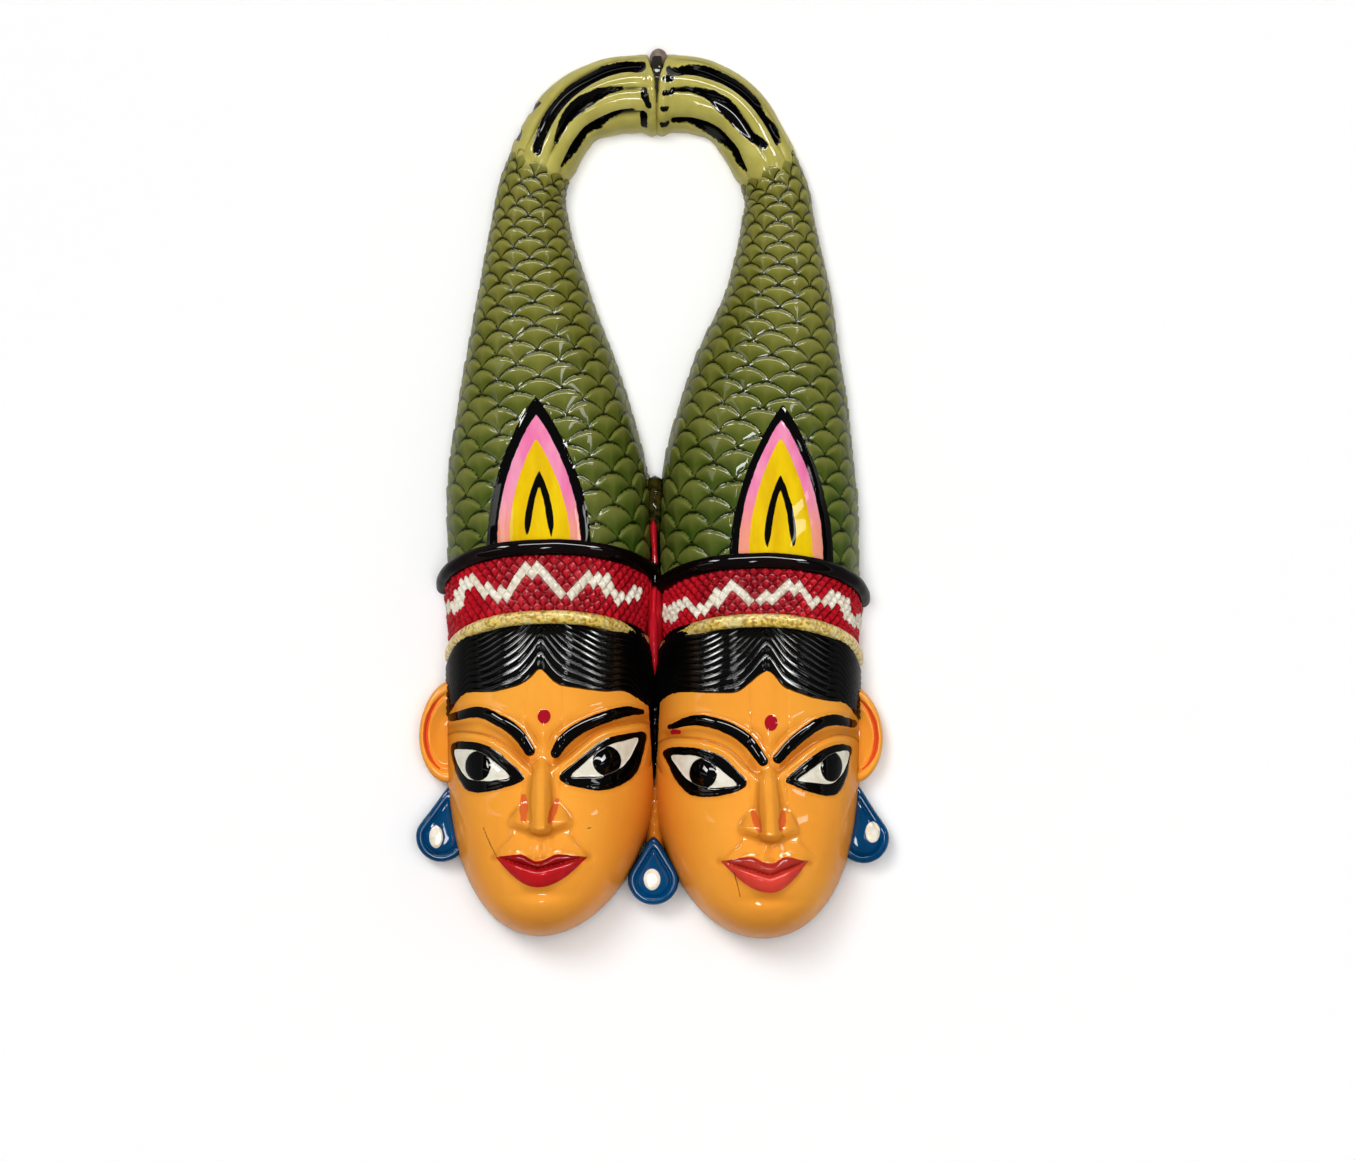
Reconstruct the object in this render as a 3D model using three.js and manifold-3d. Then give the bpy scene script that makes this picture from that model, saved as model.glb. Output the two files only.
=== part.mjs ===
import * as THREE from 'three';
import { mergeVertices } from 'three/addons/utils/BufferGeometryUtils.js';
import Module from 'manifold-3d';

// A twin-faced folk mask carved from one block of wood, lying on its flat back.
// Two faces stand side by side, and from each crown rises a scaled fish body.
// The two tails bend together and meet in an arch over an open loop.
// Units are millimetres. X runs across, Y towards the tails, Z out of the faces.
// The origin is in the middle of the back, and the back lies on Z = 0.

const wasm = await Module();
wasm.setup();

// How full a cross-section is: 2 is an ellipse, more is squarer
const FISH_FULLNESS = 2.15;
const HEAD_FULLNESS = 2.3;

// Everything starts this far below the back and is then trimmed flat
const ROOT_DEPTH = 12;

// Fish bodies: centre x and y, half-width and height, from the crown to the tails' seam
const LEFT_FISH = [
  [-43.8, -62, 43.6, 57],
  [-43.8, -22, 43.6, 57],
  [-45.1, 10, 41.7, 54],
  [-48.3, 48.7, 33.7, 47],
  [-51.1, 81, 25.2, 40],
  [-53.3, 113, 16.8, 33],
  [-51.5, 133.8, 14, 29],
  [-36.9, 160.4, 14.4, 26],
  [-18.5, 170.3, 15.9, 26],
  [1.7, 172, 16.6, 27],
];
const RIGHT_FISH = [
  [45.1, -64, 43.2, 57],
  [45.1, -22, 43.2, 57],
  [45.7, 10, 41, 54],
  [49.2, 48.7, 33.3, 47],
  [53.5, 81, 23.6, 40],
  [54.1, 113, 15.8, 33],
  [52, 132.9, 13.4, 29],
  [36.7, 160.4, 14.3, 26],
  [20.2, 170.3, 15.9, 26],
  [1.7, 172, 16.6, 27],
];

// Scales: rounded free edges point to the tail, and each lies over the next row
const SCALE_RELIEF = 1.5;
const SCALE_PITCH_BASE = 8.5;
const SCALE_PITCH_NECK = 4.1;
const SCALE_WIDTH_BASE = 22;
const SCALE_WIDTH_NECK = 12.6;
const SCALED_LENGTH = 211;
const SCALE_HALF_COLUMNS = 8;
const SMOOTH_EDGE = 10;

// Flames: a smooth pointed field on each body, with no scales
const LEFT_FLAME = { x: -49.4, y: 40.2, half: 22.5, length: 66 };
const RIGHT_FLAME = { x: 55.4, y: 37.2, half: 22.5, length: 68 };

// Tails: fin ribs run along the arch, and a raised lip edges the seam
const TAIL_RIBS = 5;
const RIB_RELIEF = 2.8;
const SEAM_LIP = 2.2;
const KNOB = { x: 2.3, y: 186, radius: 4.3, length: 9 };

// Crown bands: y at the back, outward flare beyond the fish body and roll thickness
const BAND_TILT = 0.275;
const CROWN_DEPTH_TOP = 61;
const CROWN_DEPTH_FOOT = 64.5;
const ROLL_RADIUS = 2.9;
const DIAMOND_ROWS = 6;
const DIAMOND_COLUMNS = 34;
const DIAMOND_RELIEF = 1;

// Hair: locks combed from the parting, standing proud of the forehead
const HAIR_RISE = 2.4;
const CROWN_TOP = -46;
const FOREHEAD_ROWS = 3;
const FACE_STEP = 5.3;
const LOCKS = 4;
const LOCK_RELIEF = 0.9;

// Face: thickness of the brows and height of the lids' rims
const BROW_RADIUS = 2.2;
const LID_RISE = 1.7;

// Back: an oval hollow behind each head, inside a flat rim
const WALL = 12;
const HOLLOW_DEPTH = 44;

// Each head: jaw outline, front depth and features, as x and y on the front view
const LEFT_HEAD = {
  x: -43,
  half: 45.5,
  middle: -114.5,
  chin: -189.9,
  lean: -5.6,
  fullness: 2.12,
  midline: -48.1,
  bands: { x: -43.9, halfTop: 47.2, halfBottom: 43.9, black: -39.3, gold: -70.6 },
  bridge: -119.6,
  noseTip: -145.4,
  mouth: -161.6,
  hairline: [[-88.5, -98], [-79.9, -87], [-66.6, -85.9], [-55.5, -82.6], [-47.7, -76.5],
    [-42.1, -81.4], [-34, -84.6], [-21, -85.7], [-11.6, -86.1], [-1, -93]],
  browLevel: -104,
  brows: [
    [[-86, -96.4], [-75.2, -93.4], [-66.6, -96.9], [-58.8, -102.4], [-52.9, -111]],
    [[-42.5, -112.6], [-39.5, -106.7], [-31.4, -100.3], [-21, -95.8], [-11.6, -93], [-4.6, -94.6]],
  ],
  lids: [
    [[-86, -108.9], [-76.2, -108.4], [-66.6, -112.6], [-56.5, -120.9], [-61, -124.8], [-73.4, -127.3],
      [-80.5, -124.8], [-83.8, -118.5]],
    [[-4.5, -103.8], [-20.8, -105.9], [-29.6, -112.6], [-39.2, -121], [-31.4, -124.8], [-21, -126.4],
      [-12.8, -122.8], [-6.2, -112]],
  ],
};
const RIGHT_HEAD = {
  x: 44.2,
  half: 44.6,
  middle: -114.5,
  chin: -190.9,
  lean: 4.5,
  fullness: 2.25,
  midline: 49.6,
  bands: { x: 45.6, halfTop: 45.6, halfBottom: 43.2, black: -45.2, gold: -72 },
  bridge: -122.2,
  noseTip: -149.7,
  mouth: -163.4,
  hairline: [[1.5, -92], [8, -87], [16.3, -86.1], [27.9, -86.5], [36.5, -85.9], [48.1, -77.4],
    [55.8, -84], [64.4, -87.8], [82, -91.3], [88, -98.5]],
  browLevel: -105,
  brows: [
    [[7.3, -100.3], [18, -96.9], [29.6, -99], [39.9, -105], [47.4, -115.6]],
    [[53.2, -114.6], [60.1, -106.7], [69.8, -99], [77.7, -96.9], [85.6, -98.6]],
  ],
  lids: [
    [[5.3, -111], [16.3, -110.2], [29.6, -116.2], [39.4, -123.8], [36, -127.8], [22.3, -129.5],
      [12.6, -123.6]],
    [[58, -122.8], [68.9, -112.8], [78, -108.9], [84.3, -111], [81.4, -122.9], [75.6, -128.6],
      [64.8, -126.4]],
  ],
};

// Front depth of a head down its middle: y and z
const PROFILE = [
  [-35, 56],
  [-60, 60],
  [-84, 64],
  [-100, 67.5],
  [-120, 69],
  [-146, 71.5],
  [-166, 71],
  [-176, 68],
  [-184, 57],
  [-189, 38],
  [-191, 24],
];

// Ears: outer edge, lying behind each head
const EARS = [
  { x: -88.5, y: -102, reach: 11.6, half: 21.8, lean: 5 },
  { x: 86.8, y: -103, reach: 11.6, half: 20.8, lean: -5 },
];
const EAR_FRONT = 19;

// Earrings: a teardrop from its hook down to its round end
const EARRINGS = [
  { hook: [-86.5, -125.5], centre: [-90.6, -147], radius: 10.9, front: 19 },
  { hook: [0.3, -147], centre: [0.2, -165.2], radius: 10.9, front: 25 },
  { hook: [86.5, -124.5], centre: [90.2, -147.6], radius: 10.9, front: 19 },
];

// Pairs of numbers become a smooth curve
const smoothPath = (points, closed = false) => new THREE.CatmullRomCurve3(
  points.map(([x, y]) => new THREE.Vector3(x, y, 0)), closed, 'catmullrom', 0.5);

// The value beside a position in a table of pairs, eased between its rows
function lookUp(table, at) {
  const falling = table[0][0] > table[table.length - 1][0];
  const rows = falling ? [...table].reverse() : table;
  const position = THREE.MathUtils.clamp(at, rows[0][0], rows[rows.length - 1][0]);
  const next = Math.max(1, rows.findIndex(([key]) => key >= position));
  const [from, to] = [rows[next - 1], rows[next]];
  const part = (position - from[0]) / (to[0] - from[0]);
  return THREE.MathUtils.lerp(from[1], to[1], part);
}

// A bell-shaped bump, 1 in its middle
const bump = (distance, width) => Math.exp(-((distance / width) ** 2));

// Rows of points and triangles become one closed solid
function solid(points, faces) {
  const raw = new THREE.BufferGeometry();
  raw.setAttribute('position', new THREE.Float32BufferAttribute(points.flatMap((p) => p.toArray()), 3));
  raw.setIndex(faces);
  const merged = mergeVertices(raw, 1e-4);
  const position = merged.attributes.position;
  const corners = [];
  let volume = 0;
  for (let i = 0; i < merged.index.count; i += 3) {
    const [a, b, c] = [merged.index.getX(i), merged.index.getX(i + 1), merged.index.getX(i + 2)];
    if (a === b || b === c || c === a) continue;
    const [p, q, r] = [a, b, c].map((k) => new THREE.Vector3().fromBufferAttribute(position, k));
    volume += p.dot(q.cross(r));
    corners.push(a, b, c);
  }
  const outward = volume > 0 ? corners : corners.reverse();
  return new wasm.Manifold(new wasm.Mesh({
    numProp: 3,
    vertProperties: new Float32Array(position.array),
    triVerts: new Uint32Array(outward),
  }));
}

// A solid through a row of closed rings, with flat ends; crossed quads are cut along the other diagonal
function loft(rings, crossed = () => false) {
  const count = rings[0].length;
  const points = rings.flat();
  const faces = [];
  for (let i = 0; i + 1 < rings.length; i += 1) {
    for (let k = 0; k < count; k += 1) {
      const a = i * count + k;
      const b = i * count + ((k + 1) % count);
      if (crossed(i, k)) faces.push(a, b, a + count, b, b + count, a + count);
      else faces.push(a, b, b + count, a, b + count, a + count);
    }
  }
  for (const [start, turned] of [[0, true], [(rings.length - 1) * count, false]]) {
    const middle = points.length;
    const sum = new THREE.Vector3();
    for (let k = 0; k < count; k += 1) sum.add(points[start + k]);
    points.push(sum.divideScalar(count));
    for (let k = 0; k < count; k += 1) {
      const a = start + k;
      const b = start + ((k + 1) % count);
      faces.push(...(turned ? [b, a, middle] : [a, b, middle]));
    }
  }
  return solid(points, faces);
}

// A tube of small rings along a row of points on the face
function tube(path, radius, sides) {
  const rings = path.map((point, i) => {
    const along = path[Math.min(path.length - 1, i + 1)].clone().sub(path[Math.max(0, i - 1)]).normalize();
    const sideways = new THREE.Vector3().crossVectors(along, new THREE.Vector3(0, 0, 1)).normalize();
    const up = new THREE.Vector3().crossVectors(sideways, along);
    return Array.from({ length: sides }, (_, k) => {
      const turn = (2 * Math.PI * (k + 0.75)) / sides;
      return point.clone().addScaledVector(sideways, radius * Math.cos(turn))
        .addScaledVector(up, radius * Math.sin(turn));
    });
  });
  return loft(rings);
}

// Half of a squared ellipse: turn 0 is one side, half a turn the other, 1 wide and 1 high
function arch(turn, fullness) {
  const power = 2 / fullness;
  const across = -Math.sign(Math.cos(turn)) * Math.abs(Math.cos(turn)) ** power;
  return [across, Math.abs(Math.sin(turn)) ** power];
}

// The fish body at a share of its spine: centre, direction across it, half-width and height
function fishFrame(fish) {
  const spine = smoothPath(fish);
  const sizes = smoothPath(fish.map(([, , half, high]) => [half, high]));
  const steps = 400;
  const lengths = [0];
  for (let i = 1; i <= steps; i += 1) {
    lengths.push(lengths[i - 1] + spine.getPoint(i / steps).distanceTo(spine.getPoint((i - 1) / steps)));
  }
  const at = (share) => {
    const centre = spine.getPoint(share);
    const along = spine.getTangent(share);
    const size = sizes.getPoint(share);
    return { centre, across: new THREE.Vector3(along.y, -along.x, 0), half: size.x, high: size.y };
  };
  const table = lengths.map((length, i) => [length, i / steps]);
  return { at, total: lengths[steps], atLength: (length) => at(lookUp(table, length)) };
}

// A point on the fish body: signed distance round from the front line, and height off the surface
function skinPoint(frame, distance, rise) {
  const steps = 40;
  let walked = 0;
  let [across, high] = [0, 1];
  for (let i = 1; i <= steps; i += 1) {
    const turn = (Math.PI / 2) * (1 + i / steps);
    const [nextAcross, nextHigh] = i === steps ? [1, 0] : arch(turn, FISH_FULLNESS);
    const step = Math.hypot((nextAcross - across) * frame.half, (nextHigh - high) * frame.high);
    const left = Math.abs(distance) - walked;
    if (left <= step) {
      across += ((nextAcross - across) * left) / step;
      high += ((nextHigh - high) * left) / step;
      walked = Math.abs(distance);
      break;
    }
    walked += step;
    [across, high] = [nextAcross, nextHigh];
  }
  const below = Math.abs(distance) - walked;
  const outward = new THREE.Vector2(
    across ** (FISH_FULLNESS - 1) / frame.half, high ** (FISH_FULLNESS - 1) / frame.high).normalize();
  const side = Math.sign(distance) * (across * frame.half + rise * outward.x);
  return frame.centre.clone().addScaledVector(frame.across, side)
    .setZ(high * frame.high + rise * outward.y - below);
}

// Half the width of a flame at a share of its height from the apex
const flameHalf = (flame, down) => flame.half * Math.sin((Math.PI / 2) * down ** 0.8);

// The scaled body: a lattice of low corners, with each scale's free edge raised
function scaledBody(fish, flame) {
  const frame = fishFrame(fish);
  const inFlame = (point) => {
    const down = (flame.y - point.y) / flame.length;
    return down > 0.06 && down < 1 && Math.abs(point.x - flame.x) < flameHalf(flame, down);
  };
  const shrink = Math.log(SCALE_PITCH_BASE / SCALE_PITCH_NECK) / SCALED_LENGTH;
  const rows = 2 * Math.floor((Math.exp(shrink * SCALED_LENGTH) - 1) / (2 * shrink * SCALE_PITCH_BASE));
  const place = (row, column, rise) => {
    const length = Math.log(1 + shrink * SCALE_PITCH_BASE * row) / shrink;
    const taper = (length / SCALED_LENGTH) ** 2;
    const width = THREE.MathUtils.lerp(SCALE_WIDTH_BASE, SCALE_WIDTH_NECK, taper);
    return skinPoint(frame.atLength(length), (column * width) / 2, rise - SCALE_RELIEF * 0.6);
  };
  const points = [];
  const faces = [];
  const keep = (point) => points.push(point) - 1;
  const columns = SCALE_HALF_COLUMNS;
  const low = new Map();
  for (let i = 0; i <= rows; i += 1) {
    for (let j = -columns; j <= columns; j += 1) {
      if ((i + j) % 2 === 0) low.set(`${i} ${j}`, keep(place(i, j, 0)));
    }
  }
  const corner = (i, j) => low.get(`${i} ${j}`);
  for (let i = 1; i < rows; i += 1) {
    for (let j = 1 - columns; j < columns; j += 1) {
      if ((i + j) % 2 === 0) continue;
      const [left, right] = [corner(i, j - 1), corner(i, j + 1)];
      const [root, under] = [corner(i - 1, j), corner(i + 1, j)];
      const middle = place(i, j, 0);
      if (inFlame(middle) || middle.z < SMOOTH_EDGE) {
        faces.push(root, right, under, root, under, left);
        continue;
      }
      const leftShoulder = keep(place(i + 0.95, j - 0.44, SCALE_RELIEF));
      const rightShoulder = keep(place(i + 0.95, j + 0.44, SCALE_RELIEF));
      faces.push(root, right, left, left, right, rightShoulder, left, rightShoulder, leftShoulder);
      faces.push(left, leftShoulder, under, leftShoulder, rightShoulder, under, rightShoulder, right, under);
    }
  }
  for (let i = 0; i < rows; i += 2) {
    faces.push(corner(i, columns), corner(i + 2, columns), corner(i + 1, columns - 1));
    faces.push(corner(i + 2, -columns), corner(i, -columns), corner(i + 1, 1 - columns));
    faces.push(corner(i, columns), corner(i, -columns), corner(i + 2, -columns));
    faces.push(corner(i, columns), corner(i + 2, -columns), corner(i + 2, columns));
  }
  for (let j = -columns; j < columns; j += 2) {
    faces.push(corner(0, j), corner(0, j + 2), corner(1, j + 1));
    faces.push(corner(rows, j + 2), corner(rows, j), corner(rows - 1, j + 1));
    if (j > -columns) {
      faces.push(corner(0, -columns), corner(0, j + 2), corner(0, j));
      faces.push(corner(rows, -columns), corner(rows, j), corner(rows, j + 2));
    }
  }
  return solid(points, faces);
}

// The tail: ribs run along it, and its end is raised into the seam's lip
function tail(fish) {
  const frame = fishFrame(fish);
  const start = SCALED_LENGTH - 9;
  const steps = 7;
  const rings = [];
  const end = frame.total - 7;
  const stops = Array.from({ length: steps }, (_, i) => THREE.MathUtils.lerp(start, end, i / (steps - 1)));
  stops.push(frame.total - 4, frame.total - 1.6, frame.total + 0.4);
  for (const stop of stops) {
    const station = frame.atLength(Math.min(stop, frame.total));
    const fromEnd = frame.total - stop;
    const lip = SEAM_LIP * bump(fromEnd - 2.6, 2.2) - (fromEnd < 1 ? 1.6 : 0);
    const grown = THREE.MathUtils.smoothstep(stop, start, start + 18);
    const inset = 2.6 * (1 - THREE.MathUtils.smoothstep(stop, start, start + 16));
    const ring = [];
    const sides = TAIL_RIBS * 2;
    for (let k = 0; k <= sides; k += 1) {
      const turn = (Math.PI * k) / sides;
      const [across, high] = arch(turn, FISH_FULLNESS);
      const rib = RIB_RELIEF * grown * ((k % 2) - 0.5);
      const size = 1 + (rib + lip - inset) / 18;
      ring.push(station.centre.clone().addScaledVector(station.across, across * station.half * size)
        .setZ(high * (station.high + rib + lip - inset)));
    }
    for (const side of [1, -1]) {
      const corner = station.centre.clone().addScaledVector(station.across, side * station.half);
      ring.push(corner.setZ(-ROOT_DEPTH));
    }
    rings.push(ring);
  }
  return loft(rings);
}

// A head's outline and front depth at a height y
function headSection(head, y) {
  const below = y < head.middle;
  const reach = below ? (head.middle - y) / (head.middle - head.chin) : (y - head.middle) / 150;
  const power = below ? head.fullness : 3.5;
  const width = Math.max(0.001, 1 - Math.min(1, reach) ** power) ** (1 / power);
  const lean = below ? head.lean * reach ** 2 : 0;
  return { x: head.x + lean, half: head.half * width, depth: lookUp(PROFILE, y) };
}

// The smooth head under the features: z over a point of the front view
function headDepth(head, x, y) {
  const section = headSection(head, y);
  const across = Math.min(1, Math.abs(x - section.x) / section.half);
  return section.depth * (1 - across ** HEAD_FULLNESS) ** (1 / HEAD_FULLNESS);
}

// Carved features: how far the face stands off the smooth head
function features(head, x, y) {
  const side = x - head.midline;
  const noseLength = head.bridge - head.noseTip;
  const down = (head.bridge - y) / noseLength;
  const begun = THREE.MathUtils.smoothstep(down, -0.25, 0.05);
  const onNose = begun * (1 - THREE.MathUtils.smoothstep(down, 1.02, 1.2));
  const slope = THREE.MathUtils.clamp(down, 0, 1.1);
  const noseHalf = THREE.MathUtils.lerp(5.5, 10.5, slope ** 1.6);
  const ridge = 1 - THREE.MathUtils.smoothstep(Math.abs(side), noseHalf * 0.25, noseHalf);
  let rise = onNose * ridge * THREE.MathUtils.lerp(6, 17.5, slope);
  for (const wing of [-1, 1]) {
    rise += 5.5 * bump(side - wing * 10.2, 4) * bump(y - head.noseTip - 2.4, 4.2);
  }
  const lipWidth = Math.max(0, 1 - (side / 20.5) ** 2);
  rise += 4.6 * lipWidth * bump(y - head.mouth - 2.8, 2.6) + 5.2 * lipWidth * bump(y - head.mouth + 3.6, 3);
  rise -= 2.4 * bump(side, 15) * bump(y - head.mouth + 10, 3.4);
  rise += 2.6 * bump(side, 13) * bump(y - head.mouth + 18, 8);
  for (const cheek of [-1, 1]) {
    rise += 2.4 * bump(side - cheek * 24, 11) * bump(y - head.noseTip - 3, 13);
  }
  for (const lid of head.lids) {
    const middle = new THREE.Box2().setFromPoints(lid.map(([px, py]) => new THREE.Vector2(px, py)))
      .getCenter(new THREE.Vector2());
    rise -= 4 * bump(x - middle.x, 19) * bump(y - middle.y - 1, 11);
    rise += 3.6 * bump(x - middle.x, 13) * bump(y - middle.y, 7);
  }
  return rise;
}

// A point of the face: z with the features, which fade out towards the steep sides
function facePoint(head, x, y, rise = 0) {
  const section = headSection(head, y);
  const across = Math.min(1, Math.abs(x - section.x) / section.half);
  const front = 1 - THREE.MathUtils.smoothstep(across, 0.82, 1);
  return new THREE.Vector3(x, y, headDepth(head, x, y) + front * features(head, x, y) + rise);
}

// Columns across a head: closest together at the nose
function headColumns(head, section) {
  const half = 8;
  return Array.from({ length: 2 * half + 1 }, (_, k) => {
    const from = (k - half) / half;
    const share = Math.sign(from) * Math.sin((Math.PI / 2) * Math.abs(from) ** 1.28);
    const shift = (head.midline - head.x) * (1 - Math.abs(share)) * (section.half / head.half);
    return section.x + share * section.half + shift;
  });
}

// Rings from under the crown, over the locks of hair, down the face and round the chin
function headBody(head) {
  const rings = [];
  const ring = (heightAt, rise, size = 1) => {
    const half = headSection(head, head.middle).half;
    const points = headColumns(head, { x: head.x, half }).map((columnX) => {
      const y = heightAt(columnX);
      const section = headSection(head, y);
      const x = section.x + ((columnX - head.x) * section.half) / half;
      const point = facePoint(head, x, y, rise);
      return point.set(section.x + (point.x - section.x) * size, y, point.z * size);
    });
    for (const end of [points[points.length - 1], points[0]]) {
      points.push(new THREE.Vector3(end.x, end.y, -ROOT_DEPTH));
    }
    rings.push(points);
  };
  const hairTop = (x) => head.bands.gold + BAND_TILT * headDepth(head, x, -66) + 2;
  const hairline = (x) => lookUp(head.hairline, x);
  ring(() => CROWN_TOP, 0, 0.88);
  for (let row = 0; row <= 2 * LOCKS; row += 1) {
    const down = row / (2 * LOCKS);
    ring((x) => THREE.MathUtils.lerp(hairTop(x), hairline(x), down), HAIR_RISE - (row % 2 ? 0 : LOCK_RELIEF));
  }
  for (let row = 0; row < FOREHEAD_ROWS; row += 1) {
    const down = row / FOREHEAD_ROWS;
    ring((x) => THREE.MathUtils.lerp(hairline(x) - 0.3, head.browLevel, down), 0);
  }
  for (let y = head.browLevel; y > head.chin + 13; y -= FACE_STEP) ring(() => y, 0);
  for (const above of [9, 5, 2.2, 0.5]) ring(() => head.chin + above, 0);
  return loft(rings);
}

// A raised brow along its drawn line
function brow(head, points) {
  const path = smoothPath(points);
  const line = Array.from({ length: 5 }, (_, i) => {
    const point = path.getPoint(i / 4);
    return facePoint(head, point.x, point.y, -0.2);
  });
  return tube(line, BROW_RADIUS, 3);
}

// An eye: the ball bulges inside a raised rim that follows the lids
function eye(head, lid) {
  const path = smoothPath(lid, true);
  const edge = Array.from({ length: 10 }, (_, i) => path.getPointAt(i / 10));
  const middle = edge.reduce((sum, point) => sum.add(point), new THREE.Vector3()).divideScalar(edge.length);
  const ring = (share, rise) => edge.map((point) => {
    const at = middle.clone().lerp(point, share);
    return facePoint(head, at.x, at.y, rise);
  });
  return loft([ring(0.8, -4), ring(1.04, LID_RISE), ring(0.84, 0.2), ring(0.4, 0.8)]);
}

// A point on the crown: share round from side to side, share down from black roll to gold roll
function crownPoint(bands, turn, down, rise) {
  const half = THREE.MathUtils.lerp(bands.halfTop, bands.halfBottom, down) - ROLL_RADIUS * 0.5 + rise;
  const high = THREE.MathUtils.lerp(CROWN_DEPTH_TOP, CROWN_DEPTH_FOOT, down) + rise;
  const [across, up] = arch(turn, FISH_FULLNESS);
  const y = THREE.MathUtils.lerp(bands.black, bands.gold, down) + BAND_TILT * up * high;
  return new THREE.Vector3(bands.x + across * half, y, up * high);
}

// The band between the rolls: every second point of the lattice stands up as a diamond
function diamondBand(bands) {
  const rings = Array.from({ length: DIAMOND_ROWS + 1 }, (_, r) => {
    const ring = Array.from({ length: DIAMOND_COLUMNS + 1 }, (__, k) => {
      const raised = (r + k) % 2 === 0 ? DIAMOND_RELIEF : 0;
      return crownPoint(bands, (Math.PI * k) / DIAMOND_COLUMNS, r / DIAMOND_ROWS, raised - 1.4);
    });
    for (const end of [ring[DIAMOND_COLUMNS], ring[0]]) {
      ring.push(new THREE.Vector3(end.x, end.y, -ROOT_DEPTH));
    }
    return ring;
  });
  return loft(rings, (r, k) => (r + k) % 2 === 0);
}

function roll(bands, down, rise) {
  const steps = 10;
  const turns = Array.from({ length: steps + 1 }, (_, k) => (Math.PI * k) / steps);
  const line = turns.map((turn) => crownPoint(bands, turn, down, rise));
  for (const [end, place] of [[0, 'unshift'], [steps, 'push']]) {
    const below = line[place === 'push' ? line.length - 1 : 0].clone();
    below.z = -ROOT_DEPTH / 2;
    line[place](below);
  }
  return ringTube(line, ROLL_RADIUS);
}

// A roll round the crown, whose rings stand across it
function ringTube(line, radius) {
  const sides = 4;
  const rings = line.map((point, i) => {
    const along = line[Math.min(line.length - 1, i + 1)].clone().sub(line[Math.max(0, i - 1)]).normalize();
    const lengthwise = new THREE.Vector3(0, 1, 0).projectOnPlane(along).normalize();
    const outward = new THREE.Vector3().crossVectors(along, lengthwise);
    return Array.from({ length: sides }, (_, k) => {
      const turn = (2 * Math.PI * (k + 0.5)) / sides;
      return point.clone().addScaledVector(lengthwise, radius * Math.cos(turn))
        .addScaledVector(outward, radius * Math.sin(turn));
    });
  });
  return loft(rings);
}

// An ear: a rim round a shallow bowl
function ear({ x, y, reach, half, lean }) {
  const side = Math.sign(x);
  const outline = (share, z) => Array.from({ length: 10 }, (_, k) => {
    const turn = (2 * Math.PI * k) / 10;
    const up = Math.sin(turn);
    const out = Math.cos(turn);
    return new THREE.Vector3(
      x + side * share * reach * out + (side * lean * up * share) / 4 * side,
      y + share * half * up * (1 - 0.12 * out), z);
  });
  return loft([
    outline(0.96, 2), outline(1, EAR_FRONT - 3), outline(0.88, EAR_FRONT), outline(0.74, EAR_FRONT - 0.5),
    outline(0.62, EAR_FRONT - 4),
  ]);
}

// An earring: a teardrop with a raised rim, and a drop standing inside it
function earring({ hook, centre, radius, front }) {
  const count = 10;
  const outline = (share, z) => Array.from({ length: count }, (_, k) => {
    const turn = (2 * Math.PI * k) / count;
    const towards = new THREE.Vector2(hook[0] - centre[0], hook[1] - centre[1]);
    const axis = towards.clone().normalize();
    const reach = towards.length();
    const along = Math.cos(turn);
    const out = Math.sin(turn);
    const stretched = along > 0 ? radius + (reach - radius) * along ** 2.2 : radius;
    const narrow = along > 0 ? 1 - 0.42 * along ** 2 : 1;
    const a = share * stretched * along;
    const b = share * radius * out * narrow;
    return new THREE.Vector3(centre[0] + axis.x * a - axis.y * b, centre[1] + axis.y * a + axis.x * b, z);
  });
  const body = loft([
    outline(0.96, 1), outline(1, front - 3), outline(0.84, front - 0.6), outline(0.7, front - 2.6),
  ]);
  const drop = loft([outline(0.48, front - 6), outline(0.4, front)]);
  return body.add(drop);
}

// The hollow behind a head, open to the back
function hollow(head) {
  const rings = [];
  const levels = [[-2, 1], [HOLLOW_DEPTH * 0.4, 0.93], [HOLLOW_DEPTH * 0.75, 0.75], [HOLLOW_DEPTH, 0.42]];
  const middle = -121;
  const reach = 57;
  for (const [z, share] of levels) {
    rings.push(Array.from({ length: 14 }, (_, k) => {
      const turn = (2 * Math.PI * k) / 14;
      return new THREE.Vector3(
        head.x + head.lean * 0.2 + share * (head.half - WALL) * Math.cos(turn),
        middle + share * reach * Math.sin(turn), z);
    }));
  }
  return loft(rings);
}

// A plain block between two corners
function block(from, to) {
  const box = new THREE.BoxGeometry(to[0] - from[0], to[1] - from[1], to[2] - from[2]);
  box.translate((from[0] + to[0]) / 2, (from[1] + to[1]) / 2, (from[2] + to[2]) / 2);
  box.deleteAttribute('normal');
  box.deleteAttribute('uv');
  const merged = mergeVertices(box, 1e-4);
  return new wasm.Manifold(new wasm.Mesh({
    numProp: 3,
    vertProperties: new Float32Array(merged.attributes.position.array),
    triVerts: new Uint32Array(merged.index.array),
  }));
}

// The wooden knob standing up behind the seam
function knob() {
  const profile = [[0, -KNOB.length], [KNOB.radius, -KNOB.length], [KNOB.radius, 1], [KNOB.radius * 0.7, 3.2],
    [KNOB.radius * 0.2, 4.5], [0, 4.5]];
  const lathe = new THREE.LatheGeometry(profile.map(([x, y]) => new THREE.Vector2(x, y)), 8);
  lathe.translate(KNOB.x, KNOB.y, 12);
  lathe.deleteAttribute('normal');
  lathe.deleteAttribute('uv');
  const merged = mergeVertices(lathe, 1e-4);
  const position = merged.attributes.position;
  const at = (i) => new THREE.Vector3().fromBufferAttribute(position, i);
  const points = Array.from({ length: position.count }, (_, i) => at(i));
  return solid(points, Array.from(merged.index.array));
}

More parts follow.
